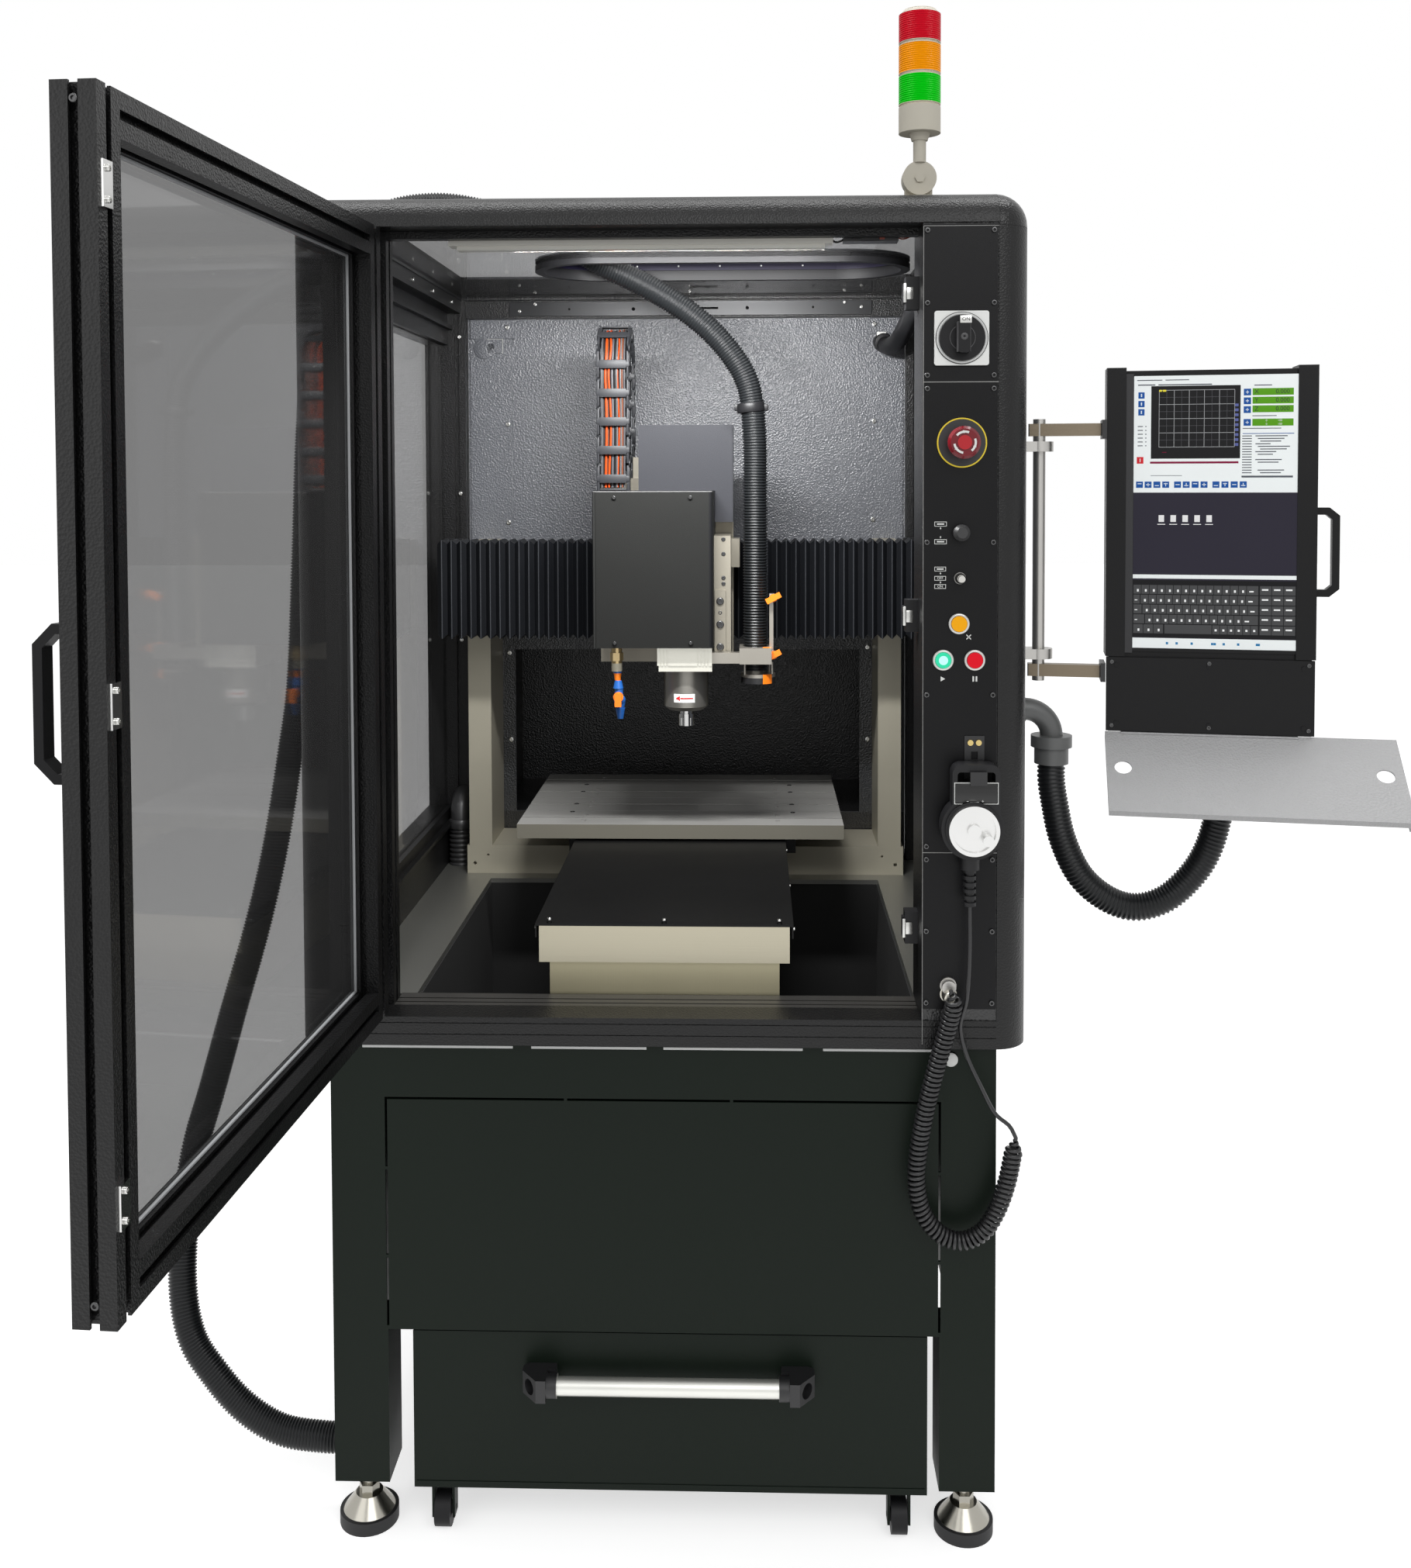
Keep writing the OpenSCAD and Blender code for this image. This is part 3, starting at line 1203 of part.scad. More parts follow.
// Steel bin with a folded front and its castor forks
module bin_shell() machine() color("#1b1f1d") translate([bin_x, bin_y, 0]) {
  w = bin_w / 2;
  difference() {
    block([-w + 3, w - 3], [2, bin_d], [bin_z, bin_z + bin_h - 12]);
    block([-w + 3 + sheet, w - 3 - sheet], [2 + sheet, bin_d - sheet], [bin_z + sheet, bin_z + bin_h]);
  }
  difference() {
    block([-w, w], [0, sheet], [bin_z, bin_z + bin_h]);
    block([-w + 3, w - 3], [-1, 0.8], [bin_z + 8, bin_z + 10]);
  }
  for (x = [-castor_x, castor_x], y = castor_y) translate([x, y, 0]) {
    for (s = [-1, 1]) block([s * 13 - 1.5, s * 13 + 1.5], [-10, 10], [wheel_r - 8, bin_z - 4.9]);
    block([-15, 15], [-16, 16], [bin_z - 5, bin_z]);
    translate([-15, 0, wheel_r]) rotate([0, 90, 0]) cylinder(d = axle_d, h = 30);
  }
}

// Round bar pull in two moulded elbows
module bin_handle() machine() color("#9b9a94") translate([bin_x, bin_y, bin_z + 148]) {
  handle_elbow();
  mirror([1, 0, 0]) handle_elbow();
  translate([-140, -25, 0]) rotate([0, 90, 0]) cylinder(d = 22, h = 280);
}

// One elbow: foot on the bin, socket for the bar and a slanted bolt recess
module handle_elbow() difference() {
  union() {
    translate([0, 0, -14]) linear_extrude(28) {
      polygon([[140, 0], [172, 0], [181, -9], [181, -17], [162, -39], [150, -39], [150, -14],
               [140, -14]]);
      translate([172, -9]) circle(9, $fn = 64);
    }
    translate([137, -25, 0]) rotate([0, 90, 0]) cylinder(d = 28, h = 24, $fn = 64);
  }
  translate([171.5, -28, 0]) rotate([0, 90, -40.8]) translate([0, 0, -10])
    cylinder(d = 19, h = 14);
}

// One pair of castor wheels on their axles
module wheel_pair(y) machine() color("#1a1a1a") translate([bin_x, bin_y + y, wheel_r])
  for (x = [-castor_x, castor_x]) translate([x, 0, 0]) rotate([0, 90, 0]) difference() {
    union() {
      translate([0, 0, -10]) cylinder(r = wheel_r, h = 20);
      translate([0, 0, -11]) cylinder(r = 8, h = 22, $fn = 32);
    }
    translate([0, 0, -12]) cylinder(d = axle_d + fit, h = 24);
  }

module bin_wheels_front() wheel_pair(castor_y[0]);

module bin_wheels_rear() wheel_pair(castor_y[1]);

// ---- cords and hoses -----------------------------------------------------

// Corrugated dust hose: from the clamp through the roof slot and down the left side
dust_route = [
  [119, 450, 1040], [119, 450, 1180], [119, 450, 1310], [118, 450, 1400], [108, 450, 1472],
  [76, 450, 1526], [29, 450, 1572], [-35, 450, 1614], [-105, 452, 1650], [-180, 455, 1692],
  [-270, 455, 1728], [-360, 445, 1742], [-440, 425, 1722], [-495, 395, 1660], [-518, 360, 1560],
  [-524, 330, 1400], [-528, 312, 1200], [-533, 300, 1040], [-541, 278, 940], [-554, 250, 819],
  [-573, 225, 712], [-600, 200, 600], [-623, 180, 502], [-640, 162, 430], [-645, 135, 350],
  [-640, 108, 270], [-622, 90, 210], [-588, 78, 168], [-545, 68, 130], [-495, 62, 105],
  [-440, 60, 98], [-403, 60, 98]];

module dust_hose() machine() color("#1b1d20") tube_along(dust_route, dust_d, 12);

// Corrugated conduit from the elbow up into the console
conduit_route = [
  [505, 150, 957], [505, 150, 935], [509, 150, 907], [520, 150, 857], [543, 150, 809],
  [577, 149, 779], [614, 147, 768], [652, 143, 780], [684, 137, 812], [704, 131, 850],
  [716, 127, 900], [721, 124, 955], [721, 124, 1001.5]];

module console_conduit() machine() color("#34373a") tube_along(conduit_route, 36, 12);

// Pendant cord: its curly part as one tube and its straight part beside it
coil_route = [
  [351, -26.3, 716], [355, -25.4, 700], [349, -20, 669], [340, -17, 635], [330, -15, 596],
  [321, -14, 555], [314, -14, 511], [312, -14, 474], [320, -14, 437], [340, -14, 412],
  [366, -14, 403], [392, -14, 415], [409, -14, 441], [421, -14, 475], [428, -14, 509],
  [432, -14, 531]];
lead_route = [
  [433, -14, 528], [424, -14, 546], [406, -14, 562], [388, -13, 597], [372, -14, 633],
  [364, -18, 669], [371, -24, 706], [374, -24, 760], [374, -22, 817]];

module pendant_cord() machine() color("#141416") {
  tube_along(coil_route, 23, 10);
  tube_along(lead_route, 5, 8);
}

base_cabinet();
levelling_feet();
enclosure_frame();
wall_panels();
windows();
floor_sheet();
chip_chute();
sill_strips();
bed_beam();
bed_cover();
bed_rails();
gantry_frame();
gantry_beam();
bellows_left();
bellows_right();
column_panels();
switch_plates();
bezels();
pendant_hook();
pendant();
door_latches();
work_lamp();
roof_slot_trim();
console_mount();
conduit_elbow();
tower_foot();
dust_hose();
console_conduit();
pendant_cord();
door_frame();
door_pane();
door_handle();
catch_plates();
x_carriage();
carriage_covers();
cable_chain();
spindle_head();
coolant_nozzle();
dust_clamp();
spindle_rotor();
table();
table_carriers();
bin_shell();
bin_handle();
bin_wheels_front();
bin_wheels_rear();
isolator_knob();
estop_button();
button_amber();
button_green();
button_red();
selector_knob();
toggle_lever();
handwheel();
console_arms();
console_body();
console_tray();
tower_body();
tower_lenses();
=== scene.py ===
"""Dresses the enclosed desktop milling machine: finishes, hoses, screws, screen and lights."""

from __future__ import annotations

import logging
import math
from dataclasses import dataclass, field
from enum import Enum
from typing import Callable, Iterable, Sequence

import bpy
from mathutils import Matrix, Vector


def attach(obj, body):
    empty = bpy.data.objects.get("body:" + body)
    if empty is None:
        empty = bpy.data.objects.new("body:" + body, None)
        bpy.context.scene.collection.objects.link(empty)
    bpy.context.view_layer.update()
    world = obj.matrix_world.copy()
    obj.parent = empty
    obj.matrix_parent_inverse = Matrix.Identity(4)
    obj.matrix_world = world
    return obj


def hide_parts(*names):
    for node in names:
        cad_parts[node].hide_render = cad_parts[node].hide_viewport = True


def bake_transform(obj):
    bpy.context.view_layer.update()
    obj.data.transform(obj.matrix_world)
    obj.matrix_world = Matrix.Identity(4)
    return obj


LOG = logging.getLogger("milling_machine")
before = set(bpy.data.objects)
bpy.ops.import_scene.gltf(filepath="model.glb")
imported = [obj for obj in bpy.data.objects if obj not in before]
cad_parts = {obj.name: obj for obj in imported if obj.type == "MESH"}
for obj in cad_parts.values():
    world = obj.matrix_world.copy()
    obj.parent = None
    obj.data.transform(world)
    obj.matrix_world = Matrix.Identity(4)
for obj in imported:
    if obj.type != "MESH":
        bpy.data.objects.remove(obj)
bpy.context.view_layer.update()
MM = 0.001
ZERO = (231.16, 194.0)

Point = tuple[float, float, float]
Span = tuple[float, float]
Colour = tuple[float, float, float]
Rect = tuple[float, float, float, float]


class Body(Enum):
    """Bodies of the machine that new pieces ride on."""

    MACHINE = "machine"
    DOOR = "door"
    CROSS = "x_slide"
    SPINDLE_SLIDE = "z_slide"
    TABLE = "work_table"
    CONSOLE = "console"
    ISOLATOR = "isolator"
    STOP = "emergency_stop"


@dataclass(frozen=True)
class Place:
    """A turned frame of the machine: its pivot in millimetres and its turn in degrees."""

    pivot: tuple[float, float] = (0.0, 0.0)
    turn: float = 0.0

    def matrix(self) -> Matrix:
        """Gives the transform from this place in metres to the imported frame."""
        shift = Vector(((self.pivot[0] - ZERO[0]) * MM, (self.pivot[1] - ZERO[1]) * MM, 0))
        return Matrix.Translation(shift) @ Matrix.Rotation(math.radians(self.turn), 4, "Z")

    def at(self, point: Point) -> Vector:
        """Gives a point of this place, in millimetres, as a place in the frame."""
        return self.matrix() @ (Vector(point) * MM)


MAIN = Place()
DOOR = Place((-372.0, 0.0), -93.6)
CONSOLE = Place((487.5, 150.0), -10.1)


# ---- shader maths -----------------------------------------------------------


class Field:
    """A number that changes over a surface, written as a plain expression."""

    def __init__(self, shader: "Shader", socket: bpy.types.NodeSocket) -> None:
        """Wraps a socket of a shader."""
        self.shader = shader
        self.socket = socket

    def math(self, operation: str, *others: "Field | float", flip: bool = False) -> "Field":
        """Adds one Math node.

        Args:
            operation: The node's operation.
            others: The further values.
            flip: Whether this field comes second.

        Returns:
            The node's result.
        """
        values = [self, *others]
        if flip:
            values.reverse()
        node = self.shader.node("ShaderNodeMath", {"operation": operation}, values)
        return Field(self.shader, node.outputs[0])

    def __add__(self, other: "Field | float") -> "Field":
        """Adds."""
        return self.math("ADD", other)

    def __sub__(self, other: "Field | float") -> "Field":
        """Takes away."""
        return self.math("SUBTRACT", other)

    def __rsub__(self, other: float) -> "Field":
        """Takes this from a number."""
        return self.math("SUBTRACT", other, flip=True)

    def __mul__(self, other: "Field | float") -> "Field":
        """Multiplies."""
        return self.math("MULTIPLY", other)

    def __truediv__(self, other: "Field | float") -> "Field":
        """Divides."""
        return self.math("DIVIDE", other)

    def over(self, limit: float, soft: float = 0.0001) -> "Field":
        """Gives 1 above a limit and 0 below it, with a soft edge."""
        return ((self - limit) / soft + 0.5).math("MINIMUM", 1.0).math("MAXIMUM", 0.0)

    def within(self, span: Span, soft: float = 0.0001) -> "Field":
        """Gives 1 inside a span."""
        return self.over(span[0], soft) * (1.0 - self.over(span[1], soft))


class Shader:
    """The node tree of one material, round its Principled node."""

    def __init__(self, name: str) -> None:
        """Makes an empty material with a Principled node."""
        self.material = bpy.data.materials.new(name)
        self.material.use_nodes = True
        self.tree = self.material.node_tree
        self.tree.nodes.clear()
        self.out = self.tree.nodes.new("ShaderNodeOutputMaterial")
        self.body = self.tree.nodes.new("ShaderNodeBsdfPrincipled")
        self.tree.links.new(self.body.outputs[0], self.out.inputs[0])
        self._place: dict[Place, tuple[Field, Field, Field]] = {}

    def node(self, kind: str, settings: dict, values: Sequence | dict = ()) -> bpy.types.Node:
        """Adds one node.

        Args:
            kind: The node's type.
            settings: Its properties, set first.
            values: Numbers, colours, fields or sockets for its inputs.

        Returns:
            The new node.
        """
        node = self.tree.nodes.new(kind)
        for key, value in settings.items():
            setattr(node, key, value)
        pairs = values.items() if isinstance(values, dict) else enumerate(values)
        for key, value in pairs:
            self.feed(node.inputs[key], value)
        return node

    def feed(self, target: bpy.types.NodeSocket, value: object) -> None:
        """Sets a socket's value or links something to it."""
        if isinstance(value, Field):
            self.tree.links.new(value.socket, target)
        elif isinstance(value, bpy.types.NodeSocket):
            self.tree.links.new(value, target)
        else:
            target.default_value = value

    def coordinates(self) -> bpy.types.NodeSocket:
        """Gives the Object coordinates."""
        return self.node("ShaderNodeTexCoord", {}).outputs["Object"]

    def turned(self, place: Place) -> bpy.types.NodeSocket:
        """Gives the coordinates of a place, in metres."""
        mapping = self.node(
            "ShaderNodeMapping",
            {"vector_type": "TEXTURE"},
            {
                0: self.coordinates(),
                1: tuple(place.matrix().translation),
                2: (0, 0, math.radians(place.turn)),
            },
        )
        return mapping.outputs[0]

    def axes(self, place: Place = MAIN) -> tuple[Field, Field, Field]:
        """Gives x, y and z of a place as fields, in millimetres."""
        if place not in self._place:
            split = self.node("ShaderNodeSeparateXYZ", {}, [self.turned(place)])
            self._place[place] = tuple(Field(self, s) * 1000.0 for s in split.outputs)
        return self._place[place]

    def noise(self, scale: float, detail: float = 3.0, stretch: Point = (1, 1, 1)) -> Field:
        """Gives a noise field about 0.5, with a scale in features per metre."""
        mapping = self.node("ShaderNodeMapping", {}, {0: self.coordinates(), 3: stretch})
        made = self.node("ShaderNodeTexNoise", {},
                         {"Vector": mapping.outputs[0], "Scale": scale, "Detail": detail})
        return Field(self, made.outputs[0])

    def cells(self, scale: float) -> Field:
        """Gives the distance to the nearest cell centre."""
        made = self.node("ShaderNodeTexVoronoi", {"feature": "F1"},
                         {"Vector": self.coordinates(), "Scale": scale})
        return Field(self, made.outputs["Distance"])

    def blend(self, mask: "Field", low: object, high: object) -> bpy.types.NodeSocket:
        """Mixes two colours by a field."""
        made = self.node("ShaderNodeMix", {"data_type": "RGBA"}, {0: mask, 6: low, 7: high})
        return made.outputs[2]

    def bump(self, height: "Field", strength: float, depth: float) -> None:
        """Bumps the surface by a field, with a depth in metres."""
        made = self.node("ShaderNodeBump", {}, {"Strength": strength, "Distance": depth, "Height": height})
        self.feed(self.body.inputs["Normal"], made.outputs[0])


# ---- finishes ---------------------------------------------------------------


class Grain(Enum):
    """How a surface is broken up at a small scale."""

    NONE = 0
    POWDER = 1
    LEATHER = 2
    BRUSHED_X = 3
    BRUSHED_Z = 4
    BLASTED = 5
    MOULDED = 6
    RIBBED = 8
    HAMMERED = 9


EVEN: Point = (1, 1, 1)
# A grain of plain noise: its scale, detail and stretch, then the bump's strength and depth.
NOISE_GRAINS = {
    Grain.POWDER: (1400.0, 2.0, EVEN, 0.35, 0.0004),
    Grain.BRUSHED_X: (500.0, 4.0, (0.02, 1, 1), 0.3, 0.0003),
    Grain.BRUSHED_Z: (500.0, 4.0, (1, 1, 0.02), 0.3, 0.0003),
    Grain.BLASTED: (2200.0, 1.0, EVEN, 0.15, 0.0002),
    Grain.MOULDED: (700.0, 2.0, EVEN, 0.2, 0.0003),
}
# A grain of cells: their scale, the noise over them and its share, then the bump's strength and depth.
CELL_GRAINS = {
    Grain.LEATHER: (420.0, 900.0, 0.4, 0.5, 0.0008),
    Grain.HAMMERED: (330.0, 620.0, 0.6, 0.6, 0.0010),
}
RIB_PITCH = 2.6
RIB_STRENGTH = 0.8
RIB_DEPTH = 0.0006
ZONE_EDGE = 0.15
PATCH_SCALE = 9.0
PATCH_DETAIL = 4.0
ROUGH_SWING = 0.12


@dataclass(frozen=True)
class Zone:
    """A part of a surface with its own colour, between planes in millimetres."""

    colour: Colour
    x: Span | None = None
    y: Span | None = None
    z: Span | None = None
    ring: tuple[float, float, float, float] | None = None
    rough: float | None = None
    metal: float | None = None

    def mask(self, axes: tuple[Field, Field, Field]) -> Field:
        """Gives 1 inside the zone."""
        made: Field | None = None
        for axis, span in zip(axes, (self.x, self.y, self.z)):
            if span is not None:
                part = axis.within(span, ZONE_EDGE)
                made = part if made is None else made * part
        if self.ring is not None:
            x, z, inner, outer = self.ring
            dx, dz = axes[0] - x, axes[2] - z
            far = (dx * dx + dz * dz).math("SQRT").within((inner, outer), ZONE_EDGE)
            made = far if made is None else made * far
        return made


@dataclass(frozen=True)
class Finish:
    """A surface finish, with its zones of another colour."""

    name: str
    colour: Colour
    rough: float = 0.5
    metal: float = 0.0
    grain: Grain = Grain.NONE
    spread: float = 0.06
    zones: tuple[Zone, ...] = ()
    place: Place = MAIN
    glow: float = 0.0
    alpha: float = 1.0
    coat: float = 0.0
    sheen: float = 0.5
    slot: str = "plastic_black"

    def material(self) -> bpy.types.Material:
        """Builds the finish once and gives it again later."""
        known = bpy.data.materials.get(self.name)
        if known is not None:
            return known
        shader = Shader(self.name)
        self._colour(shader)
        self._grain(shader)
        body = shader.body
        body.inputs["Coat Weight"].default_value = self.coat
        body.inputs["Specular IOR Level"].default_value = self.sheen
        if self.alpha < 1.0:
            body.inputs["Alpha"].default_value = self.alpha
            shader.material.surface_render_method = "BLENDED"
        return shader.material

    def _colour(self, shader: Shader) -> None:
        """Lays colour, roughness and metal with the zones over them."""
        patch = shader.noise(PATCH_SCALE, PATCH_DETAIL)
        dark = tuple(c * (1 - self.spread) for c in self.colour)
        light = tuple(min(1.0, c * (1 + self.spread)) for c in self.colour)
        colour = shader.blend(patch, (*dark, 1), (*light, 1))
        rough: Field | float = (patch - 0.5) * ROUGH_SWING + self.rough
        metal: Field | float = self.metal
        for zone in self.zones:
            mask = zone.mask(shader.axes(self.place))
            colour = shader.blend(mask, colour, (*zone.colour, 1))
            if zone.rough is not None:
                rough = rough * (1.0 - mask) + mask * zone.rough
            if zone.metal is not None:
                metal = (1.0 - mask) * metal + mask * zone.metal
        shader.feed(shader.body.inputs["Base Color"], colour)
        shader.feed(shader.body.inputs["Roughness"], rough)
        shader.feed(shader.body.inputs["Metallic"], metal)
        if self.glow:
            shader.feed(shader.body.inputs["Emission Color"], colour)
            shader.body.inputs["Emission Strength"].default_value = self.glow

    def _grain(self, shader: Shader) -> None:
        """Adds the small relief."""
        if self.grain in NOISE_GRAINS:
            scale, detail, stretch, strength, depth = NOISE_GRAINS[self.grain]
            shader.bump(shader.noise(scale, detail, stretch), strength, depth)
        elif self.grain in CELL_GRAINS:
            cells, scale, share, strength, depth = CELL_GRAINS[self.grain]
            shader.bump(shader.cells(cells) + shader.noise(scale) * share, strength, depth)
        elif self.grain is Grain.RIBBED:
            shader.bump((shader.axes()[2] * (2 * math.pi / RIB_PITCH)).math("SINE"), RIB_STRENGTH, RIB_DEPTH)


BLACK = (0.0065, 0.0065, 0.007)
INK = (0.012, 0.012, 0.013)
JOINT = (0.0008, 0.0008, 0.0008)
SAFETY_ORANGE = (0.85, 0.20, 0.01)
STOP_AT = (366.0, 1373.0)


